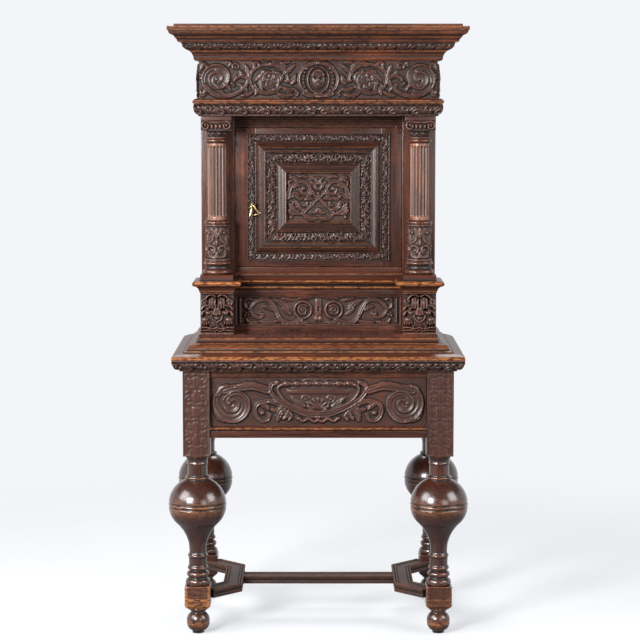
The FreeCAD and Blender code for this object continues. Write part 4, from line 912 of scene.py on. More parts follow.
def lion_carving(width, height):
    """A lion's mask: fluted brows under curls of mane, a broad nose over an open mouth, paws, and scrolled
    ledges."""
    carving = Carving(width, height, 0.7)
    carving.dome(0, 2, 38, 52, 11)
    for half, up, *stops in (
        (4.8, 17, (-5, 15), (-5, 28), (-4, 38)), (5, 17, (-12, 13), (-13, 28), (-12, 42)),
        (4.8, 16, (-20, 15), (-21, 28), (-19, 40)), (3.8, 15, (-2, 46), (-12, 53), (-25, 50), (-33, 41)),
        (4, 15, (-29, 34), (-37, 39), (-44, 33), (-42, 25)), (5, 14, (-27, 22), (-37, 20), (-45, 11)),
        (4.5, 13, (-30, 6), (-39, 4), (-45, -6)), (4.2, 17, (-16, -7), (-12, -18), (0, -27)),
        (5.5, 20, (-4, 14), (-7, 6), (-9, -3)), (3.6, 14, (-47, -43), (-30, -42), (-14, -46), (0, -42)),
        (3.2, 13, (-47, -51), (-24, -50), (-10, -53), (0, -49)),
    ):
        carving.stem(curve(*stops), half, up)
    carving.leaves(13, (8, 3, (0, -27), (-2, -36), (0, -44)), (7, 3, (-7, -28), (-15, -34), (-19, -44)))
    for dome in (
        (-12, 28, 14, 17, 16), (-36, 28, 10, 14, 11), (-25, 0, 11, 8, 14), (-33, -20, 13, 11, 14),
        (-42.5, -28, 3.4, 7, 17), (-36, -30, 3.6, 7, 18), (-29.5, -30, 3.6, 7, 18), (-23, -28, 3.4, 7, 17),
    ):
        carving.dome(*dome)
    carving.mirror()
    carving.dome(0, 6, 9, 13, 19, 6)
    carving.dome(0, -4, 14, 4.5, 21, 3)
    carving.dome(0, -15, 11, 9, 15)
    carving.groove(np.array([(0, 30), (0, 46)]), 4, 10)
    for sign in SIGNS:
        carving.dent(17 * sign, 10, 8, 4, 11)
        carving.dent(6 * sign, -6, 3, 2, 6)
    carving.soften(0.7)
    ledge = height / 2 - 4.5
    carving.relief[carving.z > ledge] = 15
    carving.relief[carving.z < -ledge] = 16
    return carving


pedestals = [slab(*one_of_pair("pedestals", sign), oak_z) for sign in SIGNS]
piece("pedestal_blocks", pedestals, "stained_oak", "pedestals")
masks = [carved_board(lion_carving, LION_DEEP, *one_of_pair("lion_panels", sign), carved_z) for sign in SIGNS]
piece("lion_masks", masks, "carved_oak", "lion_panels", rubbed=0.5, arris=80)
caps = []
cap_line = profile(shares("pedestal_caps", CAP, CAP_DEPTH))
cap_low, cap_high = box("pedestal_caps")
for sign in SIGNS:
    place = Place(COLUMN_X * sign, CAP_HALF, CAP_FRONT, cap_high[Y], cap_low[Z])
    caps += three_sided(place, cap_line, CAP_HALF, polished, worn=CAP_WORN)
piece("moulded_caps", caps, "stained_oak", "pedestal_caps", rubbed=0.9)
surbase_line = profile(shares("surbase_moulding", SURBASE, CAP_DEPTH), 0.9)
surbase = along_front("surbase_moulding", surbase_line, SURBASE_BACK, polished_x)
piece("moulded_surbase", [surbase], "stained_oak", "surbase_moulding", rubbed=0.55)

# Case front: plain oak rails under, between and over the openings, tenoned into two pilaster boards, and a
# reeded rail at the head of the door. Each row of RAILS is a bottom, a top, a back and a finish.
RAILS = [(873, 888, -82, oak_x), (975, 994, -82, oak_x), (1043.5, 1060, -78, polished_x)]
WARM = dict(STAIN, dark=(0.04, 0.0125, 0.008), brown=(0.11, 0.034, 0.02), red=(0.24, 0.075, 0.034))
rail_low, rail_high = box("front_rails")
rails = [slab((rail_low[X], rail_low[Y], bottom), (rail_high[X], back, top), finish, 1)
         for bottom, top, back, finish in RAILS]
piece("case_rails", rails, "stained_oak", "front_rails")
piece("reeded_head_rail", [reeded("head_rail", 4)], "stained_oak", "head_rail", rubbed=0.12)
warm_z = oak("warm_oak_along_z", Z, **WARM)
pilasters = [slab(*one_of_pair("pilasters", sign), warm_z) for sign in SIGNS]
piece("pilaster_boards", pilasters, "stained_oak", "pilasters")

# Columns: each a turned base with two rolls, a drum carved with stems, curls and buds, a fluted shaft between
# rings, and a capital of two scrolls and eggs on a neck of balls in cups. All are oak, doweled end to end.
COLUMN_Y = -151
COLUMN_BASE = [
    (37.5, 0, 0.7), (37.5, 14.6), (35.5, 17, -0.35), (35.5, 27.5), (36.5, 28.4, 0.7), (36.5, 37.3),
    (35, 40.5),
]
SHAFT = [(27, 10), (27, 235)]
SHAFT_RINGS = [[(34, 0, 0.7), (34, 10), (27, 13)], [(27, 232), (30, 235, 0.7), (30, 245)]]
SHAFT_SIDES = 256
NECK = [(24, 0), (26, 1, 0.7), (26, 5), (23.5, 6), (24, 14, -0.3), (31, 24)]
NECK_SIDES = 96
SCROLL_X, SCROLL_Z = 29.5, 38.5
CAPITAL_DEEP = 8
DRUM_RADIUS = 36
DRUM_HIGH = 104
DRUM_DEEP = 5.5


def drum_carving():
    """Three times round the drum: stems that rise from a pair of curls, part about a bud and curl out."""
    round_length = 2 * np.pi * DRUM_RADIUS
    carving = Carving(round_length, DRUM_HIGH, 1)
    stem = curve((6, -42), (24, -38), (33, -22), (26, -2), (14, 8), (12, 22), (20, 36), (30, 34), (29, 24))
    curl = curve((33, -22), (24, -10), (10, -12), (5, -22), (10, -30))
    inner, outer = curve((2, 14), (8, 28), (20, 46)), curve((34, -10), (36, 8), (35, 24))
    for count in range(-2, 3):
        x = round_length * (1 / 4 + count / 3)
        middle = np.array([x, 0])
        for sign in SIGNS:
            flip = np.array([sign, 1])
            carving.stem(middle + stem * flip, 4.5, DRUM_DEEP, rimmed, 0.7)
            carving.stem(middle + curl * flip, 4, DRUM_DEEP, rounded, 0.8)
            carving.balls(6, DRUM_DEEP, (x + 13 * sign, -22))
            carving.balls(4.5, DRUM_DEEP, (x + 25 * sign, 28))
            carving.leaf(middle + inner * flip, 7, DRUM_DEEP, 3)
            carving.leaf(middle + outer * flip, 8, DRUM_DEEP, 3)
        carving.dome(x, 0, 5, 10, DRUM_DEEP)
        carving.leaves(DRUM_DEEP, (8, 3, (x, 12), (x, 44)), (7, 3, (x, -26), (x, -46)))
    carving.soften(0.7)
    from_end = DRUM_HIGH / 2 - np.abs(carving.z)
    carving.relief[from_end < 5] = DRUM_DEEP
    carving.relief[np.abs(from_end - 6) < 1] = 0
    return carving


def flutes(line, count, depth):
    """Hollows round a shaft with rounded ends: how far each point lies below the shaft's skin."""
    hollow_share = 0.39
    half = hollow_share * 2 * np.pi * line[:, 0].min() / count
    across = ((circle(SHAFT_SIDES) * count / (2 * np.pi)) % 1 - 0.5) * half / hollow_share
    low, high = line[0, 1] + 12, line[-1, 1] - 10
    beyond = line[:, 1] - np.clip(line[:, 1], low + half, high - half)
    away = np.hypot(across, beyond[:, None]) / half
    return -depth * np.sqrt(np.maximum(1 - away ** 2, 0))


def capital_carving(width, height):
    """A strap that sinks between two scrolls, over a row of eggs."""
    carving = Carving(width, height, 0.8)
    carving.stem(curve((-30, 12), (-16, 9.5), (0, 8.5)), 3.4, CAPITAL_DEEP, rimmed)
    carving.stem(spiral(-SCROLL_X, -1, 12, 5, 90, 420, hold=1), 3.2, 9.5, rounded, 0.8)
    carving.balls(4.2, 10, (-SCROLL_X, -1))
    for egg in (-12, 0):
        carving.dome(egg, -3, 4.6, 7.5, CAPITAL_DEEP)
    carving.mirror()
    return carving


def capital(x):
    """A neck with balls in cups, two rolls that end in carved scrolls, eggs between them and a square slab on
    top."""
    blank_low, blank_high = box("column_capitals")
    foot, top = blank_low[Z], blank_high[Z]
    front, back = blank_low[Y], blank_high[Y]
    half = (back - front) / 2
    neck = profile(NECK, 1)
    across = (circle(NECK_SIDES) / (np.pi / 4) % 1 - 0.5) * 19
    up = neck[:, 1:] - 15
    balls = np.sqrt(np.maximum(6 ** 2 - across ** 2 - up ** 2, 0))
    cups = 3 * bell(np.hypot(across, up), 8.5, 1.2)
    low, high = foot + 24, top - 11
    scrolls = (x - half, front, low), (x + half, front + 22, high)
    parts = [
        turned(neck, (x, COLUMN_Y, foot), carved_z, NECK_SIDES, np.maximum(balls, cups)),
        carved_board(capital_carving, CAPITAL_DEEP, *scrolls, carved_x),
        slab((x - 33, front + 20, foot + 29), (x + 33, back, high), carved_x),
        slab((x - half, front, high - 1), (x + half, back, top), carved_x),
    ]
    roll = turned(profile([(13, 0), (11, 25, -0.1), (13, 65)], 1), (0, 0, 0), carved_z)
    for sign in SIGNS:
        end = np.array([x + SCROLL_X * sign, back, foot + SCROLL_Z])
        parts.append(roll._replace(points=roll.points[:, [X, Z, Y]] * np.array([1, -1, 1]) + end))
    return parts


def column_foot(node, sign):
    """Where the axis of the left or the right one of two turned blanks starts."""
    return COLUMN_X * sign, COLUMN_Y, box(node)[0][Z]


GOLDEN = dict(STAIN, dark=(0.11, 0.045, 0.028), brown=(0.28, 0.125, 0.08), red=(0.4, 0.15, 0.07))
golden_z = oak("golden_oak_along_z", Z, **GOLDEN)
drum = drum_carving()
drum_tones = [tone[:, :-1] for tone in drum.tones()]
drum_line = np.column_stack([0 * drum.z + DRUM_RADIUS - DRUM_DEEP, drum.z - drum.z[0]])
shaft_line = profile(SHAFT, 1, 1.6)
flute_cuts = flutes(shaft_line, 16, 4)
bases = [turned(profile(COLUMN_BASE, 1), column_foot("column_bases", sign), oak_z) for sign in SIGNS]
piece("turned_column_bases", bases, "stained_oak", "column_bases")
drums = [turned(drum_line, column_foot("column_drums", sign), carved_z, len(drum.x) - 1, *drum_tones)
         for sign in SIGNS]
# The drums' tops are rubbed much lighter: wear, and painted highlight.
piece("carved_drums", drums, "carved_oak", "column_drums", rubbed=1.3, arris=80)
shafts = []
for sign in SIGNS:
    foot = column_foot("column_shafts", sign)
    # Each flute is darkened by its depth as painted shade.
    shafts.append(turned(shaft_line, foot, golden_z, SHAFT_SIDES, flute_cuts, 0, -flute_cuts * 0.22))
    shafts += [turned(profile(ring, 1), foot, oak_z) for ring in SHAFT_RINGS]
piece("fluted_shafts", shafts, "stained_oak", "column_shafts", rubbed=0.15, arris=80)
capitals = capital(-COLUMN_X) + capital(COLUMN_X)
# The capitals' tops are rubbed lighter: wear, and painted highlight.
piece("scrolled_capitals", capitals, "carved_oak", "column_capitals", rubbed=0.6, arris=80)

# Entablature: carved architrave, carved frieze, a bed moulding with a carved ovolo and a plain crown, all of
# oak, on three sides and mitred at the corners. A thin top board closes the case.
ARCHITRAVE = [(2, 0, 0.38), (0.4, 0.7), (0.5, 0.72)]
FILLET = [(0.4, 0.72), (0, 0.74), (0, 0.9), (1, 1)]
ARCHITRAVE_DEPTH = 8.5
FRIEZE_THICK = 24
FRIEZE_DEEP = 9
BED_FOOT = [
    (0.98, 0, 0.3), (0.86, 0.2), (0.84, 0.28), (0.8, 0.28, -0.25), (0.6, 0.48), (0.58, 0.55), (0.7, 0.57),
]
BED = [(0.62, 0.54), (0.5, 0.55, 0.36), (0, 0.94), (0, 1), (0.1, 1)]
BED_DEPTH = 37
CROWN = [
    (0.38, 0), (0.36, 0.06, -0.25), (0.28, 0.26), (0.27, 0.3, -0.3), (0.16, 0.46, 0.35), (0.04, 0.74),
    (0, 0.76), (0, 1), (0.1, 1),
]
CROWN_DEPTH = 75.5


def mask(carving, deep):
    """A small plain mask of no one in particular: an oval with a brow, a nose and closed lips."""
    carving.dome(0, 0, 21, 28, deep * 1.3)
    for x in (-8, 8):
        carving.dent(x, 4, 5.5, 3.4, 4.5)
        carving.stem(curve((x - 6, 9), (x, 11.5), (x + 6, 9)), 2.4, deep * 1.45)
    carving.dome(0, 1, 3.6, 10, deep * 1.75)
    carving.dome(0, -13, 7.5, 3, deep * 1.5)
    carving.groove(np.array([(-7, -13), (7, -13)]), 1.4, 2.5)
    carving.stem(curve((-17, 12), (-10, 22), (0, 26), (10, 22), (17, 12)), 4, deep * 1.15)


def frieze_front(width, height):
    """Scrolls of leaf on each side of a strapped cartouche with a small calm mask."""
    carving = Carving(width, height, 1.3)
    deep = FRIEZE_DEEP
    outer, inner = (-296, 1), (-147, -1)
    band = curve((-330, -18), (-312, -36), (-284, -46), (-256, -44), (-228, -32), (-208, -12), (-205, 8))
    carving.stem(band, 8.5, deep, fluted, 0.7)
    carving.whorl(*outer, (49, 47, 45, 43, 31, 28, 25, 22, 12), deep, 60, -1)
    carving.stem(spiral(*inner, 57, 44, 0, 330, 0.8), 5, deep, rimmed, 0.8)
    carving.stem(spiral(*inner, 40, 12, 200, 330, 0.9), 3.5, deep * 0.8)
    for angle in range(0, 360, 60):
        turns = np.radians([angle, angle + 25, angle + 65])
        swirl = np.column_stack([np.cos(turns), 0.85 * np.sin(turns)]) * np.array([[8], [22], [38]])
        carving.leaf(np.array(inner) + curve(*swirl), 10, deep * 0.8, 3)
    carving.balls(6, deep, outer, inner)
    carving.leaves(
        deep * 0.9, (9, 3, (-172, 8), (-158, 20), (-138, 22)), (9, 3, (-166, -12), (-150, -20), (-132, -16)),
        (9, 3, (-122, 22), (-108, 10), (-112, -10)), (12, 4, (-150, 40), (-118, 46), (-92, 28)),
        (9, 3, (-102, 14), (-84, 28), (-66, 44)), (8, 3, (-98, -4), (-78, -2), (-64, 16)),
        (9, 3, (-104, -22), (-84, -30), (-66, -24)), (9, 4, (-120, -38), (-98, -46), (-72, -42)),
        (9, 3, (-206, 2), (-222, 14), (-230, 28)), (9, 3, (-200, 6), (-206, 26), (-214, 44)),
        (7, 3, (-224, 12), (-240, 4), (-246, -8)), (8, 3, (-190, -34), (-206, -42), (-228, -46)),
        (9, 3, (-318, 32), (-334, 42), (-344, 26)), (9, 3, (-326, -26), (-338, -42), (-345, -28)),
        (6, 2, (-262, 36), (-256, 46), (-266, 50)), (8, 3, (-196, 20), (-186, 34), (-192, 48)),
        (8, 3, (-190, -16), (-180, -32), (-186, -46)), (7, 3, (-168, 40), (-178, 48), (-194, 46)),
        (7, 3, (-276, -10), (-262, -22), (-256, -34)), (7, 3, (-306, 14), (-296, 24), (-282, 24)),
        (7, 3, (-80, -14), (-70, -4), (-68, 8)), (8, 3, (-232, -12), (-218, -22), (-206, -34)),
        (7, 3, (-110, 42), (-96, 48), (-80, 50)), (7, 3, (-300, -14), (-288, -24), (-274, -22)))
    carving.volute(-240, 36, 13, deep, 200, -400)
    carving.balls(5, deep * 0.9, (-343, 4), (-338, 12), (-344, 14), (-64, -32), (-58, -38), (-62, -44),
                  (-252, -10), (-246, -16))
    carving.stem(spiral(0, 0, 57, 57, 90, 180, 0.82), 5, deep, rimmed)
    carving.stem(curve((0, 49), (-26, 46), (-44, 36)), 5, deep, rimmed, 0.7)
    carving.stem(curve((-42, -40), (-24, -46), (0, -40)), 5, deep, rimmed, 0.8)
    carving.balls(4.6, deep * 0.9, *[(z * z / 90 - 44, z) for z in range(-30, 31, 10)])
    carving.stem(spiral(0, 0, 31, 31, 90, 180, 1.2), 3, deep * 0.8)
    carving.mirror()
    carving.soften(1.5)
    mask(carving, deep)
    carving.stipple(0.4, 0.3, 3)
    return carving


def frieze_side(width, height):
    """Four leafy scrolls in a row, wound to one side and the other."""
    carving = Carving(width, height, 1.5)
    deep = FRIEZE_DEEP
    pitch = width / 4
    for count in range(4):
        middle = pitch * (count - 1.5)
        way = 1 - 2 * (count % 2)
        end = middle + pitch / 2
        carving.stem(spiral(middle, 0, 42, 11, 180, 600 * way, hold=1.4), 8, deep, fluted, 0.6)
        carving.rosette(middle, 0, 11, deep, 6)
        carving.leaves(deep, (12, 3, (middle + 40, -30 * way), (end, 0), (end, 36 * way)),
                       (9, 3, (middle + 36, 34 * way), (end, 46 * way), (middle + 76, 34 * way)))
    carving.soften(1)
    carving.stipple(0.7, 0.5, 4)
    return carving


stained = (oak_x, oak_y)
depths = ARCHITRAVE_DEPTH, ARCHITRAVE_DEPTH + FRIEZE_THICK
architrave = leafy_run("architrave", ARCHITRAVE, *depths, band=(0.08, 0.94), pitch=66, deep=5.5)
architrave += plain_run("architrave", FILLET, *depths, stained, worn=(43.5, 46))
piece("carved_architrave", architrave, "carved_oak", "architrave", rubbed=0.6, arris=80)
place = round_case("frieze")
bed_low = round_case("bed_moulding").low
frieze_top = box("frieze")[1][Z]
front_scrolls = frieze_front(2 * place.half, bed_low - place.low)
side_scrolls = frieze_side(place.back - place.front, bed_low - place.low)
side_scrolls.relief = np.column_stack([
    np.interp(front_scrolls.z, side_scrolls.z, column) for column in side_scrolls.relief.T])
side_scrolls.z = front_scrolls.z
rise = front_scrolls.z - front_scrolls.z[0]
scroll_line = np.column_stack([0 * rise - FRIEZE_DEEP, rise])
frieze = three_sided(place, scroll_line, FRIEZE_THICK, (shaded_x, shaded_y), front_scrolls, side_scrolls)
plain_line = profile([(0, 0), (0, frieze_top - bed_low)])
frieze += three_sided(place._replace(low=bed_low), plain_line, FRIEZE_THICK, stained)
piece("carved_frieze", frieze, "carved_oak", "frieze", rubbed=0.5, arris=80)
bed = leafy_run("bed_moulding", BED, BED_DEPTH, BED_DEPTH, band=(0.08, 0.84), pitch=56, deep=4.5)
bed += plain_run("bed_moulding", BED_FOOT, BED_DEPTH, BED_DEPTH, stained)
piece("carved_bed_moulding", bed, "carved_oak", "bed_moulding", rubbed=0.3, arris=80)
crown = plain_run("cornice_crown", CROWN, CROWN_DEPTH, CROWN_DEPTH, stained, worn=(39, 42.99))
piece("moulded_crown", crown, "stained_oak", "cornice_crown", rubbed=0.5)
dusty_x = oak("dusty_oak_along_x", X, **dict(STAIN, gloss=0.72, coat=0.0))
piece("rounded_top_board", [slab(*box("top_board"), dusty_x, 2)], "stained_oak", "top_board")

# Door: an oak frame and panel, with a carved border, a mitred moulding, a second border and moulding, and a
# carved panel in the middle, each planted on the one before. A pierced plate and a staple stand by the lock.
DOOR = "door"
STILE = 60
RAIL = 40
CENTRE_DEEP = 7.5
RIDGED = [
    (0.38, 0), (0.46, 0.02), (0.46, 0.05), (0.5, 0.08, 0.06), (0.9, 0.44), (0.94, 0.47, 0.5), (0.94, 0.54),
    (0.86, 0.56), (0.84, 0.6, -0.1), (0.7, 0.78), (0.74, 0.8, 0.5), (0.7, 0.88), (0.62, 0.9), (0.62, 1),
]
STEPPED = [
    (0.38, 0), (0.42, 0.03), (0.44, 0.05, 0.04), (0.62, 0.36), (0.62, 0.4), (0.68, 0.43, 0.04), (0.82, 0.68),
    (0.82, 0.72), (0.86, 0.74, 0.1), (0.96, 0.92), (0.96, 0.95), (0.74, 1),
]
door_low, door_high = box("door_frame")
door_middle = (door_low[Z] + door_high[Z]) / 2
panel_face = box("door_panel")[0][Y]


def framed(line, wide, high, plane, finishes, across=None, along=None):
    """Four lengths mitred round the door's middle, to a half width and half height: line holds (rise, inward)
    points, from the outer edge in."""
    line, bend, facing = backed(line, 0)
    corners = ((-1, -1), (1, -1), (1, 1), (-1, 1))
    lengths = []
    for count, carving in enumerate((across, along, across, along)):
        ends = []
        for x, z in (corners[count], corners[(count + 1) % 4]):
            across_place, up_place = x * (wide - line[:, 1]), door_middle + z * (high - line[:, 1])
            ends.append(np.column_stack([across_place, plane - line[:, 0], up_place]))
        inward = ((0, 1), (-1, 0), (0, -1), (1, 0))[count]
        normal = np.column_stack([facing[:, 1] * inward[0], -facing[:, 0], facing[:, 1] * inward[1]])
        lengths.append(strung(*ends, finishes[count % 2], bend, normal, carving))
    return lengths


def border(wide, high, width, plane, rise, deep, swell):
    """A carved border of four strips, to a half width and half height, each swelling between its edges."""
    across, along = [Carving(2 * half, width, 1.05) for half in (wide, high)]
    for carving in (across, along):
        vine(carving, -width / 2, width / 2, 47, deep, 0)
        carving.mirror()
        carving.soften(0.7)
        carving.relief[np.abs(carving.z) > width * 0.44] = deep
    inward = across.z - across.z[0]
    line = np.column_stack([rise - deep - swell + swell * np.sin(np.pi * inward / width) ** 0.5, inward])
    return framed(line, wide, high, plane, (shaded_x, shaded_z), across, along)


def centre_carving(width, height):
    """Comma leaves and crossing ribbons over a hanging garland, under a ring."""
    carving = Carving(width, height, 0.85)
    deep = CENTRE_DEEP
    comma = curve((-88, 0), (-80, 30), (-58, 46), (-38, 44), (-25, 30), (-30, 14), (-46, 12), (-52, 24))
    carving.stem(comma, 7, deep, rimmed, 0.6)
    carving.balls(7, deep, (-43, 26))
    carving.leaves(
        deep * 0.9, (9, 5, (-86, -4), (-70, 10), (-52, 8)), (8, 5, (-60, 46), (-74, 58), (-87, 56)),
        (8, 5, (-24, 46), (-12, 36), (-6, 20)), (10, 7, (-84, -16), (-72, -38), (-46, -50)),
        (9, 6, (-48, -46), (-24, -60), (0, -60)), (8, 5, (-64, -10), (-54, -30), (-30, -38)),
        (6, 4, (-30, 58), (-42, 62), (-58, 60)), (7, 4, (-40, -8), (-30, -2), (-14, -4)),
        (7, 4, (0, -30), (-8, -42), (-22, -44)), (6, 4, (-86, 34), (-84, 46), (-74, 50)),
        (6, 3, (-72, 26), (-64, 34), (-52, 36)), (7, 3, (-66, 4), (-54, -4), (-40, 0)),
        (6, 3, (-12, 30), (-4, 24), (0, 30)), (6, 3, (-44, -24), (-34, -20), (-30, -10)),
        (7, 3, (-88, -34), (-80, -44), (-66, -50)), (6, 3, (-34, 4), (-24, 8), (-16, 18)))
    carving.stem(curve((-24, 25), (-10, 8), (8, -8), (26, -26), (44, -44)), 5, deep, rimmed)
    carving.volute(-66, -20, 12, deep, 60, 460)
    carving.volute(-20, -22, 10, deep, 120, -440)
    carving.balls(6, deep, (-79, -57))
    carving.stem(spiral(0, 48, 8, 8, 0, 360, 1.2), 2.6, deep * 0.9)
    carving.leaves(deep, (6, 3, (0, 38), (-8, 52), (-18, 60)))
    carving.dome(0, 12, 5, 7, deep)
    carving.mirror()
    carving.soften(0.8)
    carving.stipple(0.4, 0.3, 5)
    return carving


inner_x = door_high[X] - STILE
door_frame = [
    slab(door_low, (-inner_x, *door_high[Y:]), warm_z), slab((inner_x, *door_low[Y:]), door_high, oak_z),
]
for bottom in (door_low[Z], door_high[Z] - RAIL):
    low, high = (-inner_x - 0.5, door_low[Y], bottom), (inner_x + 0.5, door_high[Y], bottom + RAIL)
    door_frame.append(slab(low, high, oak_x))
piece("plain_door_frame", door_frame, "stained_oak", "door_frame", body=DOOR)
borders = border(205.5, 184, width=23, plane=door_low[Y], rise=6, deep=4.5, swell=0.5)
borders += border(150.5, 129, width=29.5, plane=panel_face, rise=14, deep=6, swell=2)
piece("door_borders", borders, "carved_oak", "door_carved_borders", body=DOOR, rubbed=0.5, arris=80)
dark_x, dark_z = oaks("dark_oak", (X, Z), **dict(DARK, coat=0.4))
bolections = []
for shape, wide, high, size, rise in ((RIDGED, 182.5, 161, 32, 18), (STEPPED, 121, 99.5, 29.5, 22)):
    line = profile([(up * rise, inward * size, *bulge) for up, inward, *bulge in shape], 0.6, 0.35)
    bolections += framed(line, wide, high, panel_face, (dark_x, dark_z))
piece("bolection_mouldings", bolections, "stained_oak", "door_mouldings", body=DOOR, rubbed=0.2)
carved_front("door_centre_panel", DOOR, "carved_door_centre", centre_carving, CENTRE_DEEP)

# Drop pull: a cast brass bell, flat and open, that swings on a ring round the staple's pin. Two legs flare to
# a thin bar, with a ball on it.
PULL_PIN = (-192.5, -121, 1243.5)
RING_RADIUS = 4.6
RING_WIRE = 1.7
ROD_SIDES = 20
RODS = [
    ((2.4, 3.6, 2.7, 3, 3.4), (-194, 1241), (-194.4, 1236), (-193.6, 1230), (-195.5, 1219), (-198.5, 1209.5)),
    ((2.4, 3.4, 2.5, 2.8, 3.2), (-191, 1241), (-187, 1238), (-183.7, 1232), (-176, 1223.5), (-164.8, 1217.8)),
    ((1.6, 1.2, 1.6), (-199, 1209.5), (-182, 1213), (-164.5, 1217.8)),
]


def metal(name, colour, roughness):
    """Old metal: dull where it is dirty, brighter where it is rubbed."""
    finish = Finish(bpy.data.materials.new(name))
    dirt = finish.noise(finish.place, 240, 4)
    shade = finish.mix(finish.step(dirt, 0.3, 0.7), [tone * 0.45 for tone in colour], colour)
    return finish.surface({"Base Color": shade, "Roughness": roughness + 0.2 * dirt, "Metallic": 1.0})


def rod(radii, *stops):
    """A round rod along a path of (x, z) stops in the pull's plane, with radii spread evenly along it."""
    path = curve(*stops)
    share = np.linspace(0, 1, len(path))
    radius = np.interp(share, np.linspace(0, 1, len(radii)), radii)[:, None]
    stride = np.gradient(path, axis=0)
    stride = stride / np.hypot(*stride.T)[:, None]
    across, out = radius * np.cos(circle(ROD_SIDES)), radius * np.sin(circle(ROD_SIDES))
    x, z = path[:, :1] - stride[:, 1:] * across, path[:, 1:] + stride[:, :1] * across
    points = np.stack([x, PULL_PIN[Y] - out, z], axis=-1)
    plain = np.zeros(across.size)
    return Part(points.reshape(-1, 3), closed_round(*across.shape), plain, plain, brass)


brass = metal("old_brass", (0.85, 0.66, 0.34), 0.22)
wire = np.linspace(0, 2 * np.pi, 40)
ring_line = np.column_stack([RING_RADIUS + RING_WIRE * np.cos(wire), RING_WIRE * np.sin(wire)])
ring = turned(ring_line, (0, 0, 0), brass, 40)
ring = ring._replace(points=ring.points[:, [Z, X, Y]] + np.array(PULL_PIN))
ball = turned(profile([(0.4, -3.6, 1), (0.4, 3.6)], 0.5, 0.4), (-182.5, PULL_PIN[Y], 1213), brass, 24)
pull = [ring, *[rod(*row) for row in RODS], ball]
piece("bell_pull", pull, "brass", "drop_pull", body="drop_pull", rubbed=0)

# Case drawer: an oak front carved with roses and leafy beasts' tails on each side of its keyhole. It has no
# pull, and comes out by its key. Its plain box of thinner oak is dovetailed behind.
CASE_DRAWER_DEEP = 6.5


def case_drawer_carving(width, height):
    """A rose in a scroll by the keyhole, and a long tail that arches out from under it to a curled end."""
    carving = Carving(width, height, 0.95)
    deep = CASE_DRAWER_DEEP
    carving.stem(spiral(-45, 2, 25, 24, -110, -330), 4.5, deep)
    carving.whorl(-45, 2, (19, 18, 17, 15, 11, 10, 8, 6, 3), deep, 30)
    tail = curve((-52, -27), (-84, -38), (-112, -24), (-126, 4), (-140, 26), (-158, 33), (-184, 26),
                 (-200, 4), (-190, -14), (-170, -20), (-160, -10))
    carving.stem(tail, 9, deep, fluted, 0.6)
    carving.balls(6, deep, (-168, -10))
    carving.leaves(
        deep * 0.9, (10, 6, (-86, 4), (-104, 20), (-130, 32)), (8, 5, (-80, -12), (-96, 0), (-108, 10)),
        (7, 5, (-72, 30), (-90, 34), (-108, 36)), (9, 6, (-118, -30), (-140, -36), (-166, -34)),
        (9, 5, (-132, 0), (-146, 10), (-164, 12)), (8, 5, (-176, -34), (-200, -36), (-214, -22)),
        (7, 4, (-196, 32), (-208, 36), (-218, 26)), (6, 4, (-204, 4), (-214, 12), (-216, 24)),
        (6, 4, (-26, -34), (-44, -36), (-64, -34)), (6, 4, (-20, 36), (-40, 38), (-62, 34)))
    carving.balls(4.5, deep, (-212, -6), (-206, -12), (-215, -14), (-120, -12), (-112, -16), (-118, -20))
    carving.stem(np.array([(-229, -34), (-229, 34)]), 4, deep)
    carving.dome(0, 10, 11, 30, deep * 0.9, 4)
    carving.dome(-6, -24, 7, 9, deep * 0.8)
    carving.mirror()
    carving.rim(5, 3.5, deep)
    carving.soften(0.9)
    carving.stipple(0.4, 0.3, 6)
    keyhole_deep = 9
    carving.dent(0, 8, 3, 3, keyhole_deep)
    carving.dent(0, 3, 2, 6, keyhole_deep)
    return carving


carved_front(
    "case_drawer_front", "case_drawer", "carved_case_drawer_front", case_drawer_carving, CASE_DRAWER_DEEP)

# Boards and ironwork that stay as they were cut: framed sides, bearers, linings and drawer boxes of plain
# oak, and iron locks, plates and pivots. They only get their finish here.
RAW = {
    "dark": (0.15, 0.08, 0.042), "brown": (0.24, 0.135, 0.07), "red": (0.25, 0.12, 0.058),
    "worn": (0.42, 0.2, 0.1), "gloss": 0.5, "coat": 0.0,
}
raw_x, raw_y, raw_z = oaks("inner_oak", (X, Y, Z), **RAW)
iron = metal("old_iron", (0.12, 0.11, 0.1), 0.45)
for finish, names in (
    (oak_y, "stand_rails stand_top case_base ceiling"),
    (oak_z, "door_panel case_side_left case_side_right"),
    (raw_x, "stand_drawer_back case_drawer_back cupboard_floor shelf"),
    (raw_y, "stand_runners stand_drawer_sides stand_drawer_bottom battens_and_runners"),
    (raw_y, "case_drawer_sides case_drawer_bottom"),
    (raw_z, "case_back"),
    (iron, "door_plates door_pivots door_lock door_bolt case_drawer_lock case_drawer_bolt"),
):
    for name in names.split():
        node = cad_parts[name]
        node.data.materials.clear()
        node.data.materials.append(finish)

# Studio: a pale floor that fades into a white surround, and soft lamps in front, on both sides and behind.
# The surround is bright to the eye, dim as a light, and mirrored in the wax only from the sides and behind.
FLOOR = 3
floor_finish = Finish(bpy.data.materials.new("pale_floor"))
away = floor_finish.node("ShaderNodeVectorMath", {"operation": "LENGTH"}, {0: floor_finish.place}, "Value")
seen = floor_finish.node("ShaderNodeLightPath", {}, {}, "Is Camera Ray")
floor_finish.surface({
    "Base Color": floor_finish.mix(seen, (0.3, 0.3, 0.31), (0.9, 0.91, 0.93)), "Roughness": 0.9,
    "Alpha": 0.5 - 0.5 * floor_finish.step(away, 0.8, 2.6)})
floor_mesh = bpy.data.meshes.new("floor")
floor_corners = [(-FLOOR, -FLOOR, 0), (FLOOR, -FLOOR, 0), (FLOOR, FLOOR, 0), (-FLOOR, FLOOR, 0)]
floor_mesh.from_pydata(floor_corners, [], [(0, 1, 2, 3)])
floor_mesh.materials.append(floor_finish.owner)
floor = bpy.data.objects.new("floor", floor_mesh)
bpy.context.scene.collection.objects.link(floor)

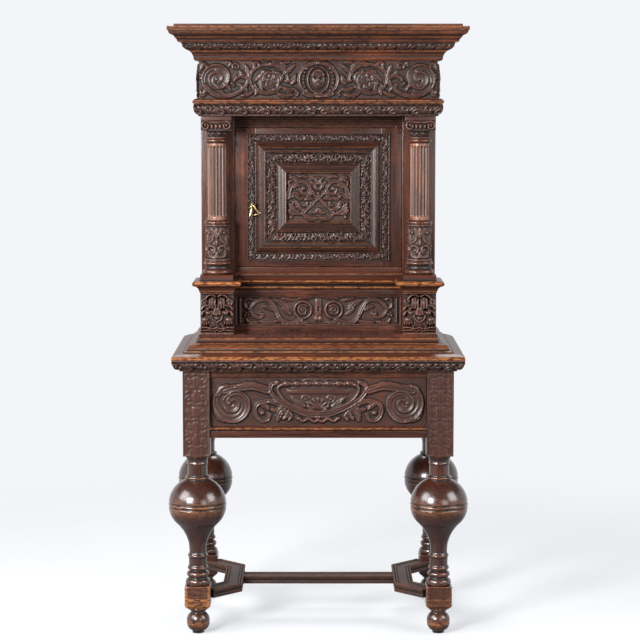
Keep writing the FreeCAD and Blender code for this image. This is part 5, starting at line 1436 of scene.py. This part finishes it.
sky = Finish(bpy.data.worlds.new("studio"))
bpy.context.scene.world = sky.owner
heading = sky.node("ShaderNodeTexCoord", {}, {}, "Generated")
backward = sky.node("ShaderNodeSeparateXYZ", {}, {0: heading}, "Y")
upward = sky.node("ShaderNodeSeparateXYZ", {}, {0: heading}, "Z")
walls = sky.step(backward, -0.8, -0.3) * (1 - sky.step(upward * upward, 0.08, 0.3))
glossy = sky.node("ShaderNodeLightPath", {}, {}, "Is Glossy Ray")
camera_ray = sky.node("ShaderNodeLightPath", {}, {}, "Is Camera Ray")
shown = sky.node("ShaderNodeBackground", {}, {"Color": (0.895, 0.913, 0.947), "Strength": 1})
soft = sky.node("ShaderNodeBackground", {}, {"Color": (0.96, 0.98, 1), "Strength": 0.09})
either = sky.node("ShaderNodeMixShader", {}, {0: camera_ray + 0.75 * glossy * walls, 1: soft, 2: shown})
sky.put(sky.tree.nodes["World Output"].inputs["Surface"], either)


def lamp(name, place, aim, size, power):
    """A square soft lamp turned to face a place."""
    light = bpy.data.lights.new(name, "AREA")
    light.size = size
    light.energy = power
    made = bpy.data.objects.new(name, light)
    made.location = place
    toward = np.array(aim, float) - np.array(place, float)
    level = math.hypot(toward[X], toward[Y])
    made.rotation_euler = (math.atan2(level, -toward[Z]), 0, math.atan2(-toward[X], toward[Y]))
    bpy.context.scene.collection.objects.link(made)


lamp("key", (-2.2, -3.4, 2.0), (0, 0, 1.0), 1.1, 230)
lamp("left_window", (-2.7, -1.4, 2.3), (0, 0, 0.9), 1.8, 80)
lamp("right_window", (2.8, -1.6, 2.2), (0, 0, 0.9), 1.8, 65)
lamp("fill", (1.9, -4.2, 1.5), (0, 0, 0.9), 1.6, 30)
lamp("rear", (0.2, 2.6, 4.2), (0, 0.2, 1.0), 2.2, 90)

DOWNWARD = 5.994
camera = bpy.data.cameras.new("camera")
camera.sensor_width = 36
camera.lens = 115.18
viewer = bpy.data.objects.new("camera", camera)
viewer.location = (0.005, -6.060, 1.5299)
viewer.rotation_euler = (math.radians(90 - DOWNWARD), 0, 0)
bpy.context.scene.collection.objects.link(viewer)
bpy.context.scene.camera = viewer
bpy.context.scene.view_settings.view_transform = "Standard"
